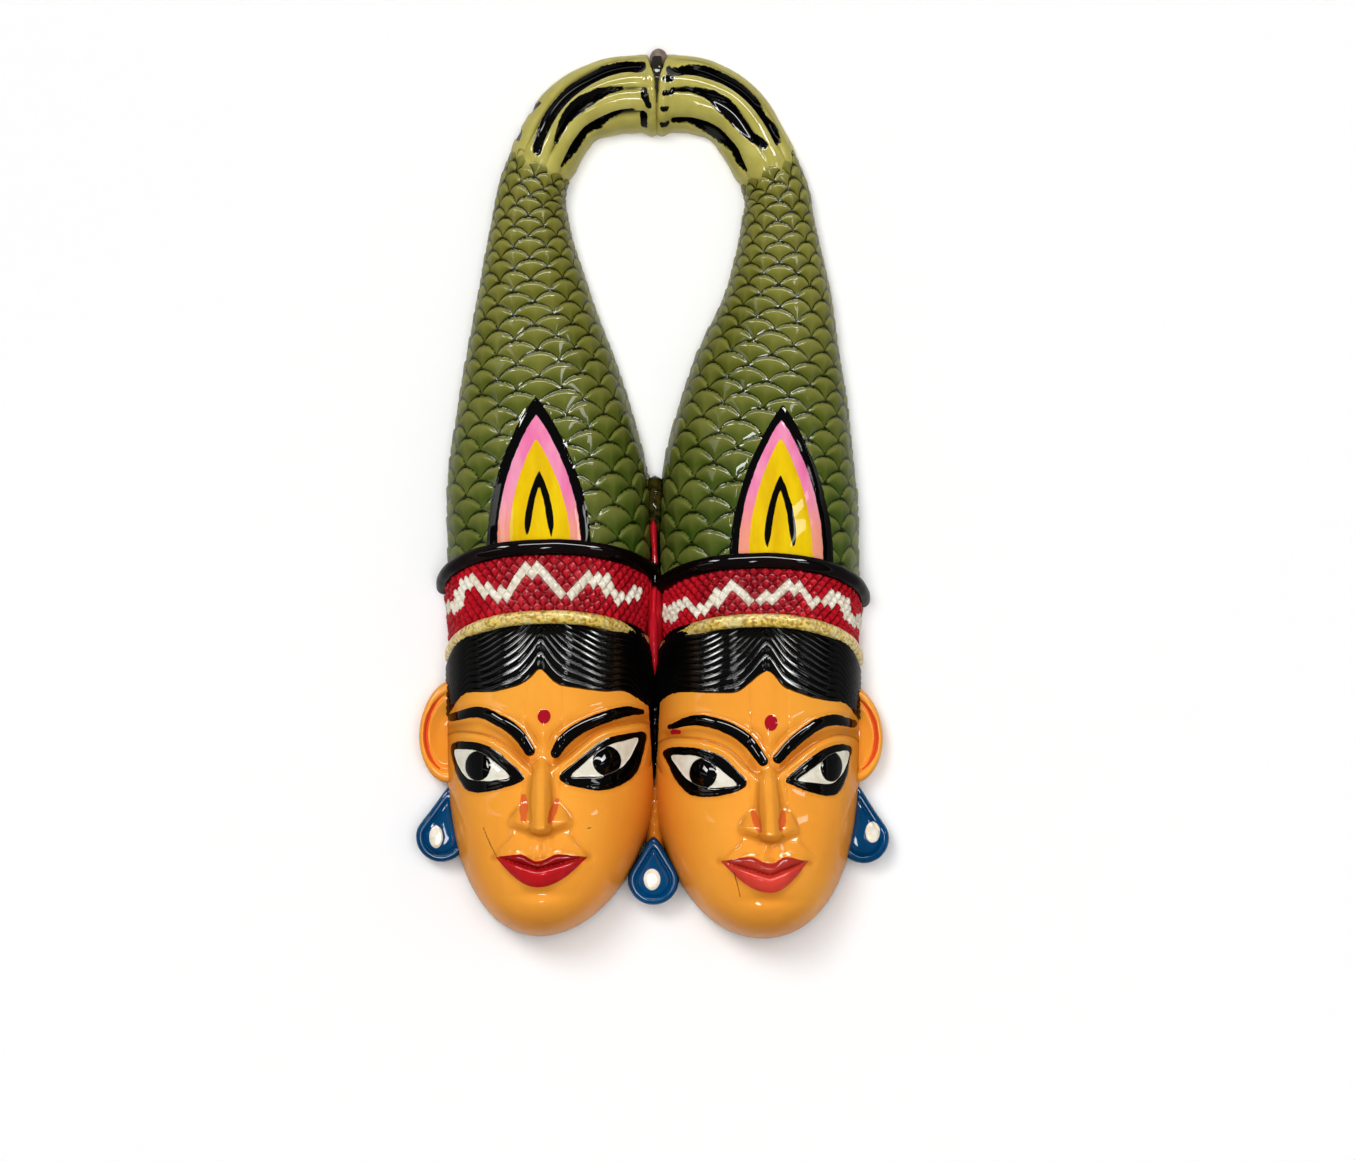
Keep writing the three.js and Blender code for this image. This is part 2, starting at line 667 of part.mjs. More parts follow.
// Everything is joined, trimmed flat at the back and hollowed
const pieces = [
  scaledBody(LEFT_FISH, LEFT_FLAME),
  scaledBody(RIGHT_FISH, RIGHT_FLAME),
  tail(LEFT_FISH),
  tail(RIGHT_FISH),
  knob(),
  ...EARS.map(ear),
  ...EARRINGS.map(earring),
  block([-4, -168, -ROOT_DEPTH], [5.5, 5, 20]),
];
for (const head of [LEFT_HEAD, RIGHT_HEAD]) {
  pieces.push(headBody(head), diamondBand(head.bands));
  pieces.push(roll(head.bands, 0, 0), roll(head.bands, 1, 0.2));
  for (const points of head.brows) pieces.push(brow(head, points));
  for (const lid of head.lids) pieces.push(eye(head, lid));
}
let carving = pieces[0];
for (const piece of pieces.slice(1)) carving = carving.add(piece);
carving = carving.intersect(block([-150, -250, 0], [150, 250, 150]));
for (const head of [LEFT_HEAD, RIGHT_HEAD]) carving = carving.subtract(hollow(head));

// The one connected surface with the most triangles, so no crumb or bubble smaller than a pinhead stays
function mainSurface(corners, count) {
  const owner = Array.from({ length: count }, (_, i) => i);
  const find = (start) => {
    let at = start;
    while (owner[at] !== at) at = owner[at];
    owner[start] = at;
    return at;
  };
  for (let i = 0; i < corners.length; i += 3) {
    owner[find(corners[i + 1])] = find(corners[i]);
    owner[find(corners[i + 2])] = find(corners[i]);
  }
  const sizes = new Map();
  for (const corner of corners) sizes.set(find(corner), (sizes.get(find(corner)) ?? 0) + 1);
  const main = [...sizes].sort((a, b) => b[1] - a[1])[0][0];
  return corners.filter((corner) => find(corner) === main);
}

const carved = carving.getMesh();
const geometry = new THREE.BufferGeometry();
geometry.setAttribute('position', new THREE.BufferAttribute(new Float32Array(carved.vertProperties), 3));
geometry.setIndex(mainSurface(Array.from(carved.triVerts), carved.numVert));

const mask = new THREE.Mesh(geometry, new THREE.MeshStandardMaterial({
  color: 0xd8923a,
  roughness: 0.25,
  metalness: 0,
}));
mask.name = 'mask';

const group = new THREE.Group();
group.add(mask);

export default group;
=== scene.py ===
"""A twin-faced folk mask, carved from one block of wood and painted in gloss enamel.

The mask lies on its flat back. X runs across it, Y towards the tails and Z out of the faces.
Shapes are worked out in millimetres and become metres when a mesh is made.
"""

import math

import bmesh
import bpy
import numpy as np
from bpy.props import FloatProperty, FloatVectorProperty, IntProperty, PointerProperty
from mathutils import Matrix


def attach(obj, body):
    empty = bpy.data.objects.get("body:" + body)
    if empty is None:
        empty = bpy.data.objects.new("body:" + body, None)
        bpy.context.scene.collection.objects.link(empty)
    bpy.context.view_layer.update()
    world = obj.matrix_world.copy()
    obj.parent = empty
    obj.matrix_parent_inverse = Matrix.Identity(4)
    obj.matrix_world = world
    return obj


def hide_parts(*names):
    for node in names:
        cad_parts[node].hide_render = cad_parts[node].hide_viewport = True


bl_info = {
    "name": "Gomira Mask",
    "version": (1, 0, 0),
    "blender": (4, 5, 0),
    "location": "3D View > Sidebar > Gomira",
    "description": "Builds a carved twin-faced fish mask in gloss enamel",
    "category": "Object",
}

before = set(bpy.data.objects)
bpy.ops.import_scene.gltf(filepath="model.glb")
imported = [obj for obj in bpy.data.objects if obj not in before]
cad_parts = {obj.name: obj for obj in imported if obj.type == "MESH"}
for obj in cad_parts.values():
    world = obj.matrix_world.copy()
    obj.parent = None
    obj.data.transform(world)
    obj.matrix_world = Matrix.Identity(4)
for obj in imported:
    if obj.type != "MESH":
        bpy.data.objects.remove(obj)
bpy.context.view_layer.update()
MM = 0.001

# The front view: drawn places are measured as a camera sees them from this height, over this middle
VIEW_HEIGHT = 4500
VIEW_MIDDLE = (10.5, -37.4)

# Distances to painted edges are kept up to this far
FAR = 9.0
# Height in metres above the flat back at which the paint stops
BARE_EDGE = 0.0006
# The clear coat: how far up a surface faces where it is full, and where the steep sides have some
COAT_TOP = (0.64, 0.92)
COAT_SIDE = (0.5, 0.1)
COAT_IOR = 1.6

# Cross-sections: 2 is an ellipse, more is squarer
FISH_FULLNESS = 2.15
HEAD_FULLNESS = 2.3

# Fish bodies: centre x and y, half-width and height, from the crown to the tails' seam
LEFT_FISH = [
    (-44, -62, 44.2, 57), (-44, -22, 44.2, 57), (-45.5, 10, 42.4, 54), (-48.4, 48.7, 34, 47),
    (-51.1, 81, 25.2, 40), (-52.7, 113, 17.2, 33), (-50.7, 133.8, 14.3, 29), (-36.9, 160.4, 14.3, 26),
    (-18.5, 170.3, 15.9, 26), (1.7, 172, 16.6, 27),
]
RIGHT_FISH = [
    (45.1, -64, 43.2, 57), (45.1, -22, 43.2, 57), (45.7, 10, 41, 54), (49.2, 48.7, 33.3, 47),
    (53.5, 81, 23.8, 40), (53.8, 113, 16.2, 33), (51.6, 132.9, 13.7, 29), (36.7, 160.4, 14.3, 26),
    (20.2, 170.3, 15.9, 26), (1.7, 172, 16.6, 27),
]
# Along the spine: where the surface starts, and the first and the last row of scales
BODY_START = 14
FIRST_SCALES = 33
LAST_ROW = 31
# How fast the rows and the scales shrink towards the tail
PITCH_FADE = 0.003717
WIDTH_FADE = 0.00033

# Flames: apex x and y, half-width, length and sideways drift of each painted pointed arch
LEFT_FLAME = {
    "black": (-49.8, 40.6, 22.4, 66, 1.6), "pink": (-49.6, 33, 18.0, 57, 1.4),
    "yellow": (-49.6, 22.6, 13.2, 46, 1.9), "wick": (-48.2, 9.3, 6.6, 28, 0), "wick_foot": -19,
}
RIGHT_FLAME = {
    "black": (55.4, 37.2, 22.3, 68, -0.8), "pink": (54.8, 30.8, 18.2, 59, -0.4),
    "yellow": (54.4, 23, 13.7, 50, 0), "wick": (54.2, 7.6, 7.2, 32, 0), "wick_foot": -24,
}

# Tails: grooves between the ribs, at the seam and at the scales, from -1 at the inner edge to 1 at
# the outer edge
LEFT_RIBS = [(-0.6, -0.7), (0.1, -0.17), (0.63, 0.2), (0.9, 0.62)]
RIGHT_RIBS = [(-0.77, -0.72), (0.04, 0.1), (0.6, 0.62), (0.88, 0.88)]

# Filled seam between the tails: its place, and front and half-width by the share down it
SEAM = {"x": 1.7, "top": 188.3, "length": 21.5}
SEAM_FRONT = [(0, 9), (0.06, 15.6), (0.2, 20.6), (0.5, 24.8), (1, 26)]
SEAM_HALF = [(0, 0.5), (0.05, 1.9), (0.15, 2.5), (0.35, 2.1), (0.7, 1.3), (1, 0.5)]
# Peg behind the seam: its place, and its radius along its length
PEG = {"x": 2.3, "y": 186.2, "z": 12}
PEG_PROFILE = [(-9, 3.6), (0, 3.7), (1.4, 3.5), (2.8, 2.8), (3.8, 1.6), (4.3, 0.3)]

# Black brush strokes on the tails: drawn points, and half-widths along them
LEFT_STROKES = [
    ([(-5.2, 182.8), (-15.1, 182.8), (-25.8, 179.5), (-35.1, 172.9), (-43.1, 164.2), (-47.8, 154.8),
      (-49.7, 146.8)], (1.8, 1.7, 2.1, 2.2, 2.1, 1.7, 1.3)),
    ([(-13.8, 174.2), (-20.4, 172.8), (-27.1, 169.5), (-32.4, 166.2), (-37.1, 161.5), (-39.8, 156.2),
      (-41.7, 150.8)], (0.5, 1.4, 2.5, 2.7, 2.1, 1.5, 0.6)),
    ([(-9.1, 164.4), (-16.4, 162.8), (-23.1, 158.8), (-28.4, 155.5), (-32.4, 150.8), (-35.8, 145.5),
      (-38.8, 140.9)], (0.6, 1.1, 1.6, 1.4, 1.2, 1.0, 0.5)),
    ([(-3.9, 173.5), (-3.4, 170.5), (-1.8, 167.5)], (0.8, 1.1, 0.8)),
    ([(-3.9, 162.8), (-3.9, 159.1)], (1, 0.9)),
    ([(-19.1, 188.8), (-11.2, 189)], (0.6, 0.7)),
    ([(-52.4, 163.5), (-48.4, 167.5)], (0.3, 0.2)),
    ([(-57.6, 152.2), (-56.4, 155.5)], (0.6, 0.4)),
]
RIGHT_STROKES = [
    ([(7.5, 180.8), (16.8, 181.7), (24.8, 180.1), (32.8, 176.8), (40.8, 170.8), (44.8, 165.5),
      (47.5, 161.5), (51.5, 156.2), (53.4, 150.8)], (1.5, 1.8, 1.8, 1.8, 2.0, 1.0, 0.8, 1.2, 0.8)),
    ([(8.2, 173.5), (16.8, 173.5), (24.8, 170.8), (30.2, 166.8), (35.5, 161.5), (40.8, 154.8),
      (47.5, 149.5)], (0.5, 1.0, 1.9, 3.0, 2.9, 1.9, 1.3)),
    ([(8.8, 159.9), (16.8, 159.5), (22.2, 157.5), (27.5, 154.2), (34.1, 148.2), (36.8, 142.8),
      (39.5, 138.9)], (0.6, 1.2, 1.6, 1.6, 1.4, 1.1, 0.5)),
    ([(5.2, 177.2), (7.6, 178)], (0.7, 0.9)),
    ([(5, 172), (7.8, 172.4)], (0.6, 0.7)),
    ([(3.9, 166.2), (6, 166)], (0.6, 0.4)),
    ([(3.8, 159.8), (6, 159.4)], (0.6, 0.5)),
]

# Crown: y at the back of the two rolls, their tilt over the front, and their depths
BAND_TILT = 0.275
CROWN_DEPTH_TOP = 61
CROWN_DEPTH_FOOT = 64.5
BAND_HEIGHT = 32
# Rolls: share of the way down the crown, radius, and depth of the dents
BLACK_ROLL = (0.025, 3.4, 0.0)
GOLD_ROLL = (1.0, 2.9, 0.35)

# Between the two halves, by distance below the fork: half-width and height of the strip of wood,
# and height under the run of red paint
WEB_HALF = [(-7.5, 0.3), (-6.5, 2.6), (-3, 4.4), (166, 4.4)]
WEB_HEIGHT = [(-7.5, 8), (-6, 13), (0, 18), (30, 18), (38, 26), (60, 27), (68, 22), (100, 24), (166, 16)]
DRIP_BASE = [(10, 19), (24, 18), (30, 21), (38, 26), (60, 28), (78, 27)]
DRIP_TOP, DRIP_FOOT = -11, -78
# Half-width of the black paint between the heads, by distance below the fork
VALLEY_HALF = [(60, 3.2), (84, 2.6), (104, 1.7), (126, 0.3)]

# Back: an oval hollow behind each head, inside a flat rim
RIM_WALL = 12
HOLLOW_DEPTH = 44
HOLLOW_MIDDLE = -121
HOLLOW_REACH = 57

# Each head: outline, crown and every painted feature, as x and y on the front view
LEFT_HEAD = {
    "x": -43, "half": 45.5, "middle": -114.5, "chin": -189.6, "lean": -5.4, "fullness": 2.05,
    "bands": {"x": -43.9, "top": 47.2, "foot": 43.9, "black": -39.3, "gold": -70.6},
    "midline": [(-70, -46.9), (-95.8, -46.8), (-120, -48.1), (-190, -48.3)],
    "bridge": -118.5, "nose_foot": -148, "wings": (-14, 13.8),
    "mouth": {"x": -49.6, "halves": (18, 21.3), "corner": -155.9, "line": -161.2, "peak": -154.9,
              "dip": -157.9, "foot": -169.2},
    "hairline": [(-88.5, -98), (-79.9, -87), (-66.6, -85.9), (-57.1, -83.5), (-51.5, -79.7),
                 (-47.7, -76.5), (-42.1, -81.4), (-36.1, -84), (-21, -85.7), (-11.6, -86.1), (-1, -93)],
    "parting": -47.3,
    "bindi": (-46.8, -95.8, 2.8, 3.2),
    "brows": [
        ([(-86.4, -96.2), (-75.2, -93.9), (-66.6, -97.3), (-58.8, -102.6), (-53, -110.6)],
         (1.5, 2.2, 2.3, 2.4, 2)),
        ([(-41.9, -111.7), (-38.5, -106.3), (-31.4, -100.8), (-21, -96.2), (-11.6, -93.6), (-4.9, -93.8)],
         (1.9, 2.5, 2.4, 2.4, 2, 0.9)),
    ],
    "eyes": [
        {"rim": [(-86.5, -107.7), (-76.1, -107), (-67, -110.8), (-55.9, -120.8), (-57.2, -124.1),
                 (-64.5, -126.6), (-72.8, -128.4), (-79.3, -127.8), (-82.8, -123.7), (-85.1, -118.4)],
         "white": [(-85.3, -110.6), (-81, -110), (-75.2, -110.8), (-69.5, -114.2), (-61.7, -121.6),
                   (-67.9, -123.1), (-71.9, -123.5), (-79.3, -122.4), (-83.5, -117.1)],
         "iris": (-75.2, -117, 5.5, 6.4)},
        {"rim": [(-3.5, -102.6), (-12.9, -103.4), (-22, -106.2), (-33, -114.9), (-40.1, -121),
                 (-38, -124.6), (-31.4, -126.4), (-21.6, -127.6), (-12.5, -124.6), (-6.6, -119),
                 (-3.6, -109)],
         "white": [(-6.6, -105.1), (-12.8, -106.4), (-17.7, -107.7), (-24.3, -111.4), (-30, -116.3),
                   (-34.9, -121.3), (-28.4, -121.6), (-21.8, -121.3), (-14.8, -118.4), (-11.2, -115.2),
                   (-8.3, -110.4)],
         "iris": (-19.8, -114.9, 6.1, 6.4)},
    ],
    "nose_strokes": [([(-55.5, -130.2), (-55.6, -140.4)], 1.9),
                     ([(-41.2, -131.8), (-44.3, -140.6)], 1.7)],
    "cracks": [[(-73, -143.2), (-70.4, -149.5), (-67.4, -155.6)], [(-28.6, -144), (-26.4, -143.4)],
               [(-50.7, -104), (-50.6, -105.4)]],
    "smudges": [],
}
RIGHT_HEAD = {
    "x": 44.2, "half": 44.6, "middle": -114.5, "chin": -190.6, "lean": 3, "fullness": 2.17,
    "bands": {"x": 45.6, "top": 45.6, "foot": 43.2, "black": -45.2, "gold": -72},
    "midline": [(-70, 49), (-98.6, 50.3), (-122.2, 49.2), (-149, 50.6), (-190, 49.4)],
    "bridge": -121, "nose_foot": -151, "wings": (-13.8, 12.2),
    "mouth": {"x": 50.4, "halves": (21.2, 16.1), "corner": -157.7, "line": -164.2, "peak": -156,
              "dip": -158.9, "foot": -171.6},
    "hairline": [(1.5, -92), (8, -87), (16.3, -86.1), (27.9, -86.5), (36.5, -85.9), (48.1, -77.4),
                 (55.8, -84), (64.4, -87.8), (73.4, -89.6), (82, -91.3), (88, -98.5)],
    "parting": 48.1,
    "bindi": (50.7, -98.6, 2.8, 3.5),
    "brows": [
        ([(7.3, -100.3), (18, -97.4), (29.6, -99.7), (39.9, -105.6), (47.2, -115)],
         (0.9, 2.1, 2.3, 2.4, 2)),
        ([(53.6, -114), (60.6, -106.7), (69.8, -99.7), (77.7, -97.3), (86, -98.9)],
         (1.9, 2.3, 2.3, 2.2, 1.5)),
    ],
    "eyes": [
        {"rim": [(4.3, -111.4), (7.6, -109.1), (13.3, -108.9), (20.7, -109.7), (29.8, -113),
                 (37.2, -120), (40.2, -123.3), (39.2, -126.4), (33, -129), (25.6, -130.4),
                 (18.3, -130), (14.1, -128.2), (9.2, -122.4), (6.6, -116.7)],
         "white": [(7.8, -112.8), (12.9, -112.4), (19.1, -113), (25.6, -116.3), (30.6, -120),
                   (35.9, -125), (30.6, -126.1), (24.8, -126.4), (19.1, -125.3), (14.1, -122.1),
                   (10.4, -117.5)],
         "iris": (21.5, -120.2, 5.9, 6.6)},
        {"rim": [(57, -123.3), (62.6, -117.5), (70, -111.8), (76.6, -108.5), (81.5, -107.7),
                 (85.2, -109.3), (84.4, -115.1), (83, -122.4), (79.2, -128.9), (74.1, -129.8),
                 (67.6, -128.4), (61, -125.8)],
         "white": [(62.2, -123.2), (66.7, -119.6), (71.6, -115.9), (75.3, -112.6), (80.3, -110.8),
                   (84.1, -110.9), (83.6, -115.1), (81.5, -120), (78.2, -123.7), (74.5, -124.8),
                   (68.4, -124.1)],
         "iris": (76.6, -117.3, 4.7, 6.5)},
    ],
    "nose_strokes": [([(43, -137), (45.8, -144.6)], 1.7), ([(55.9, -137), (55, -143.9)], 1.7)],
    "cracks": [[(34.8, -162.6), (36.2, -168), (37.4, -173.3)]],
    "smudges": [([(8.6, -102.4), (11.2, -102.6)], 1.2)],
}

# Front depth of a head down its middle, as y and z, before the chin rounds over
PROFILE = [(-191, 72), (-166, 71.8), (-146, 71.5), (-120, 69), (-100, 67.5), (-84, 64), (-60, 60),
           (-35, 56)]
# The chin rounds over from this y on, as a squared ellipse of this fullness
CHIN_ROUND_FROM = -150
CHIN_FULLNESS = 3.4
# Height of the hairline over the flat back
HAIRLINE_DEPTH = 64
# Over its widest place a head narrows along this length, as a squared ellipse of this fullness
HEAD_TOP_REACH = 150
HEAD_TOP_FULLNESS = 3.5
# Distance of the upper lid's fold from the eye's black rim
LID_FOLD = 4.1

# Ears and teardrop earrings: each has this many rings, from its back to the middle of its front
DISC_RINGS = 64
EARS = [
    {"x": -88.5, "y": -102, "reach": 11.6, "half": 21.8, "lean": 5},
    {"x": 86.8, "y": -103, "reach": 11.6, "half": 20.8, "lean": -5},
]
EAR_FRONT = 19
# An ear's rings from its back to its bowl: share of its size, and height
EAR_PROFILE = [
    (0.02, 0), (0.5, 0), (0.93, 0), (0.965, 0.8), (0.98, 3), (1.0, 8), (1.0, EAR_FRONT - 6),
    (0.985, EAR_FRONT - 3), (0.955, EAR_FRONT - 1.2), (0.91, EAR_FRONT - 0.2), (0.85, EAR_FRONT),
    (0.8, EAR_FRONT - 0.5), (0.755, EAR_FRONT - 1.7), (0.72, EAR_FRONT - 2.5), (0.68, EAR_FRONT - 1.9),
    (0.62, EAR_FRONT - 1.5), (0.5, EAR_FRONT - 2.4), (0.34, EAR_FRONT - 3.6), (0.18, EAR_FRONT - 4.2),
    (0.02, EAR_FRONT - 4.3),
]
EARRINGS = [
    {"hook": (-86.5, -125.5), "centre": (-90.6, -147), "radius": 10.9, "front": 19,
     "oval": (-92.8, -147.1, 2.9, 4.8)},
    {"hook": (0.3, -147), "centre": (0.2, -165.2), "radius": 10.9, "front": 25,
     "oval": (-0.4, -165.1, 3.5, 4.6)},
    {"hook": (86.5, -124.5), "centre": (90.2, -147.6), "radius": 10.9, "front": 19,
     "oval": (94, -145, 3.1, 4.5)},
]

# Zigzag on each band, as x and y on the front view
LEFT_ZIGZAG = [(-88.9, -49.4), (-85, -47.4), (-78.6, -37.3), (-69.6, -44), (-65.2, -43), (-58.8, -36.8),
               (-51.1, -32.2), (-44.7, -37.8), (-37.4, -43.2), (-30.1, -38.6), (-22.8, -35.4),
               (-17.2, -41.6), (-12.9, -44.8), (-7, -42.4)]
RIGHT_ZIGZAG = [(3.9, -50.9), (6.4, -52.8), (9.8, -48.4), (14.2, -48.3), (18.9, -50.2), (26.5, -45.2),
                (33.1, -40), (41, -44.9), (48.5, -45.2), (55.8, -42.3), (61.8, -39.6), (68.3, -45.8),
                (75.2, -46.2), (80.7, -45.1), (86.5, -55.6), (90.2, -54)]

# Panels mirrored in the gloss: place and size in metres, and share of the highlights' brightness
PANELS = [
    ("top", (0.1, 1.3, 1.1), (2.4, 0.26), 0.6),
    ("overhead", (-0.14, -0.32, 1.7), (0.18, 0.36), 0.55),
    ("left", (-1.45, 0.15, 0.42), (0.2, 1.0), 0.06),
    ("right", (1.25, 0.2, 0.95), (0.14, 0.5), 0.2),
    ("upper left", (-1.2, 0.85, 0.6), (0.3, 0.5), 0.8),
    ("upper right", (1.1, 0.85, 0.7), (0.3, 0.5), 0.8),
]
SENSOR_WIDTH = 36.0


def smooth_path(points, shares, closed=False):
    """Points of the smooth curve through a few drawn points, at shares of the way from first to last.

    It is the Catmull-Rom cubic: each span leaves its ends in the direction of its neighbours' chord.
    """
    drawn = np.asarray(points, float)
    if closed:
        padded = np.vstack([drawn[-1:], drawn, drawn[:2]])
    else:
        padded = np.vstack([2 * drawn[0] - drawn[1], drawn, 2 * drawn[-1] - drawn[-2]])
    spans = len(drawn) if closed else len(drawn) - 1
    at = np.clip(np.asarray(shares, float) * spans, 0, spans - 1e-9)
    span = at.astype(int)
    t = (at - span)[:, None]
    before, start, end, after = (padded[span + k] for k in range(4))
    cubic = 3 * (start - end) + after - before
    square = 2 * before - 5 * start + 4 * end - after
    return start + 0.5 * t * (end - before + t * (square + t * cubic))


def look_up(table, at):
    """The value beside a position in a drawn table of pairs, on a smooth curve through them."""
    curve = smooth_path(sorted(table), np.linspace(0, 1, 600))
    return np.interp(at, curve[:, 0], curve[:, 1])


def straight(table, at):
    """The value beside a position in a drawn table of pairs, on straight lines between them."""
    return np.interp(at, *zip(*table))


def grid(x, y, z):
    """Points from x, y and z, each spread over the whole grid."""
    return np.stack(np.broadcast_arrays(x, y, z), axis=-1)


def smoothstep(value, low, high):
    """0 below low, 1 above high, and an S-shaped ramp between."""
    share = np.clip((value - low) / (high - low), 0, 1)
    return share * share * (3 - 2 * share)


def bump(distance, width):
    """A bell-shaped bump, 1 in its middle."""
    return np.exp(-((distance / width) ** 2))


def chance(*keys):
    """A repeatable number from 0 to 1 for whole-number keys: the fraction of a large sine."""
    mixed = sum(np.asarray(key, float) * factor for key, factor in zip(keys, (12.9898, 78.233)))
    return np.modf(np.abs(np.sin(mixed) * 43758.5453))[0]


def unevenness(x, y, size):
    """Soft hand-made waviness from -1 to 1: four crossed sine waves of unlike lengths."""
    u = np.asarray(x) / size
    v = np.asarray(y) / size
    waves = np.sin(1.7 * u + 2.3 * np.sin(0.9 * v)) + np.sin(2.9 * v + 1.3 * np.sin(1.1 * u))
    return (waves + 0.6 * np.sin(3.7 * u - 2.1 * v) + 0.6 * np.sin(2.3 * u + 4.1 * v)) / 3.2


def seen(x, y, z):
    """Where a place shows on the front view: what stands nearer the camera shows further out."""
    nearer = VIEW_HEIGHT / (VIEW_HEIGHT - z)
    return VIEW_MIDDLE[0] + (x - VIEW_MIDDLE[0]) * nearer, VIEW_MIDDLE[1] + (y - VIEW_MIDDLE[1]) * nearer


def facing_up(points):
    """How far a grid of points faces up: the z share of the cross product of its two directions."""
    normal = np.cross(np.gradient(points, axis=0), np.gradient(points, axis=1))
    return np.abs(normal[..., 2]) / np.maximum(1e-9, np.linalg.norm(normal, axis=-1))


def arch(turn, fullness):
    """Half of a squared ellipse: turn 0 is one side, half a turn the other, 1 wide and 1 high."""
    power = 2 / fullness
    across = -np.sign(np.cos(turn)) * np.abs(np.cos(turn)) ** power
    return across, np.abs(np.sin(turn)) ** power


def rounded_over(share, fullness):
    """Height of a squared ellipse beside its middle: 1 at share 0, and 0 at share 1."""
    return np.maximum(0, 1 - np.abs(share) ** fullness) ** (1 / fullness)


def square_out(across, up, half, high, fullness):
    """The direction square to a squared ellipse: its sideways and upward parts, and their length."""
    sideways = np.sign(across) * np.abs(across) ** (fullness - 1) / half
    upwards = up ** (fullness - 1) / high
    return sideways, upwards, np.hypot(sideways, upwards)


def near_box(x, y, points, margin):
    """Which places lie within a margin of the box round some points."""
    low = np.min(points, axis=0) - margin
    high = np.max(points, axis=0) + margin
    return (x > low[0]) & (x < high[0]) & (y > low[1]) & (y < high[1])


def outline_distance(x, y, drawn):
    """Distance to a closed drawn outline, negative inside it and never more than FAR.

    The nearest of many short straight edges gives the distance; a ray to the right that
    crosses an odd number of edges starts inside.
    """
    curve = smooth_path(drawn, np.linspace(0, 1, 121)[:-1], closed=True)
    result = np.full(x.shape, FAR)
    near = near_box(x, y, curve, FAR)
    px, py = x[near][:, None], y[near][:, None]
    (ax, ay), (bx, by) = curve.T, np.roll(curve, -1, axis=0).T
    ex, ey = bx - ax, by - ay
    share = np.clip(((px - ax) * ex + (py - ay) * ey) / (ex * ex + ey * ey), 0, 1)
    distance = np.hypot(px - ax - share * ex, py - ay - share * ey).min(axis=1)
    between = (ay > py) != (by > py)
    crossing = between & (px < ax + (py - ay) * ex / np.where(ey == 0, 1e-9, ey))
    inside = crossing.sum(axis=1) % 2 == 1
    result[near] = np.minimum(FAR, np.where(inside, -distance, distance))
    return result


def stroke_distance(x, y, drawn, radii, far=FAR):
    """Distance to the edge of a brush stroke whose half-width changes along it, negative inside."""
    shares = np.linspace(0, 1, 70)
    curve = smooth_path(drawn, shares)
    radius = np.interp(shares, np.linspace(0, 1, np.size(radii)), np.atleast_1d(radii).astype(float))
    result = np.full(x.shape, far)
    near = near_box(x, y, curve, far)
    gap = np.hypot(x[near][:, None] - curve[:, 0], y[near][:, None] - curve[:, 1]) - radius
    result[near] = np.minimum(far, gap.min(axis=1))
    return result


def nearest_stroke(x, y, strokes):
    """Distance to the nearest of some brush strokes, each given as drawn points and half-widths."""
    distance = np.full(np.shape(x), FAR)
    for drawn, radii in strokes:
        distance = np.minimum(distance, stroke_distance(x, y, drawn, radii))
    return distance


def dot_distance(x, y, dot):
    """Distance to an upright oval spot, negative inside: its radius share, scaled by its mean radius."""
    middle_x, middle_y, half_x, half_y = dot
    share = np.hypot((x - middle_x) / half_x, (y - middle_y) / half_y)
    return np.minimum(FAR, (share - 1) * (half_x + half_y) / 2)


def piece_from_rings(name, rings, marks, material):
    """One closed piece from a row of closed rings, in millimetres.

    Neighbouring rings are joined by quads, each end ring is closed by a fan to its middle, and
    the faces are turned outwards by the sign of the whole volume. marks are numbers per point;
    where "upward" isn't among them, it is taken from the mesh's own normals.
    """
    rows, count = rings.shape[:2]
    ends = np.stack([rings[0].mean(axis=0), rings[-1].mean(axis=0)])
    points = np.vstack([rings.reshape(-1, 3), ends]) * MM
    here = (np.arange(rows - 1)[:, None] * count + np.arange(count)).ravel()
    aside = (np.arange(rows - 1)[:, None] * count + (np.arange(count) + 1) % count).ravel()
    quads = np.stack([here, aside, aside + count, here + count], axis=1)
    turn = np.arange(count)
    first = np.stack([(turn + 1) % count, turn, np.full(count, rows * count)], axis=1)
    last_ring = (rows - 1) * count
    last_middle = np.full(count, rows * count + 1)
    last = np.stack([last_ring + turn, last_ring + (turn + 1) % count, last_middle], axis=1)
    fans = np.vstack([first, last])
    corners = np.vstack([fans, quads[:, [0, 1, 2]], quads[:, [0, 2, 3]]])
    a, b, c = (points[corners[:, k]] for k in range(3))
    if np.einsum("ij,ij->i", a, np.cross(b, c)).sum() < 0:
        quads, fans = quads[:, ::-1], fans[:, ::-1]
    mesh = bpy.data.meshes.new(name)
    mesh.vertices.add(len(points))
    mesh.vertices.foreach_set("co", points.ravel())
    corner_list = np.concatenate([quads.ravel(), fans.ravel()])
    mesh.loops.add(len(corner_list))
    mesh.loops.foreach_set("vertex_index", corner_list)
    starts = np.concatenate([np.arange(len(quads)) * 4, len(quads) * 4 + np.arange(len(fans)) * 3])
    mesh.polygons.add(len(starts))
    mesh.polygons.foreach_set("loop_start", starts)
    mesh.update(calc_edges=True)
    for mark, values in marks.items():
        spread = np.broadcast_to(values, rings.shape[:2])
        numbers = np.concatenate([spread.ravel(), [spread[0].mean(), spread[-1].mean()]])
        add_mark(mesh, mark, numbers)
    tidy_mesh(mesh)
    if "upward" not in marks:
        normals = np.empty(len(mesh.vertices) * 3, np.float32)
        mesh.vertices.foreach_get("normal", normals)
        add_mark(mesh, "upward", normals[2::3])
    mesh.materials.append(material)
    piece = bpy.data.objects.new(name, mesh)
    bpy.context.collection.objects.link(piece)
    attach(piece, "root")
    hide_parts("mask")
    return piece


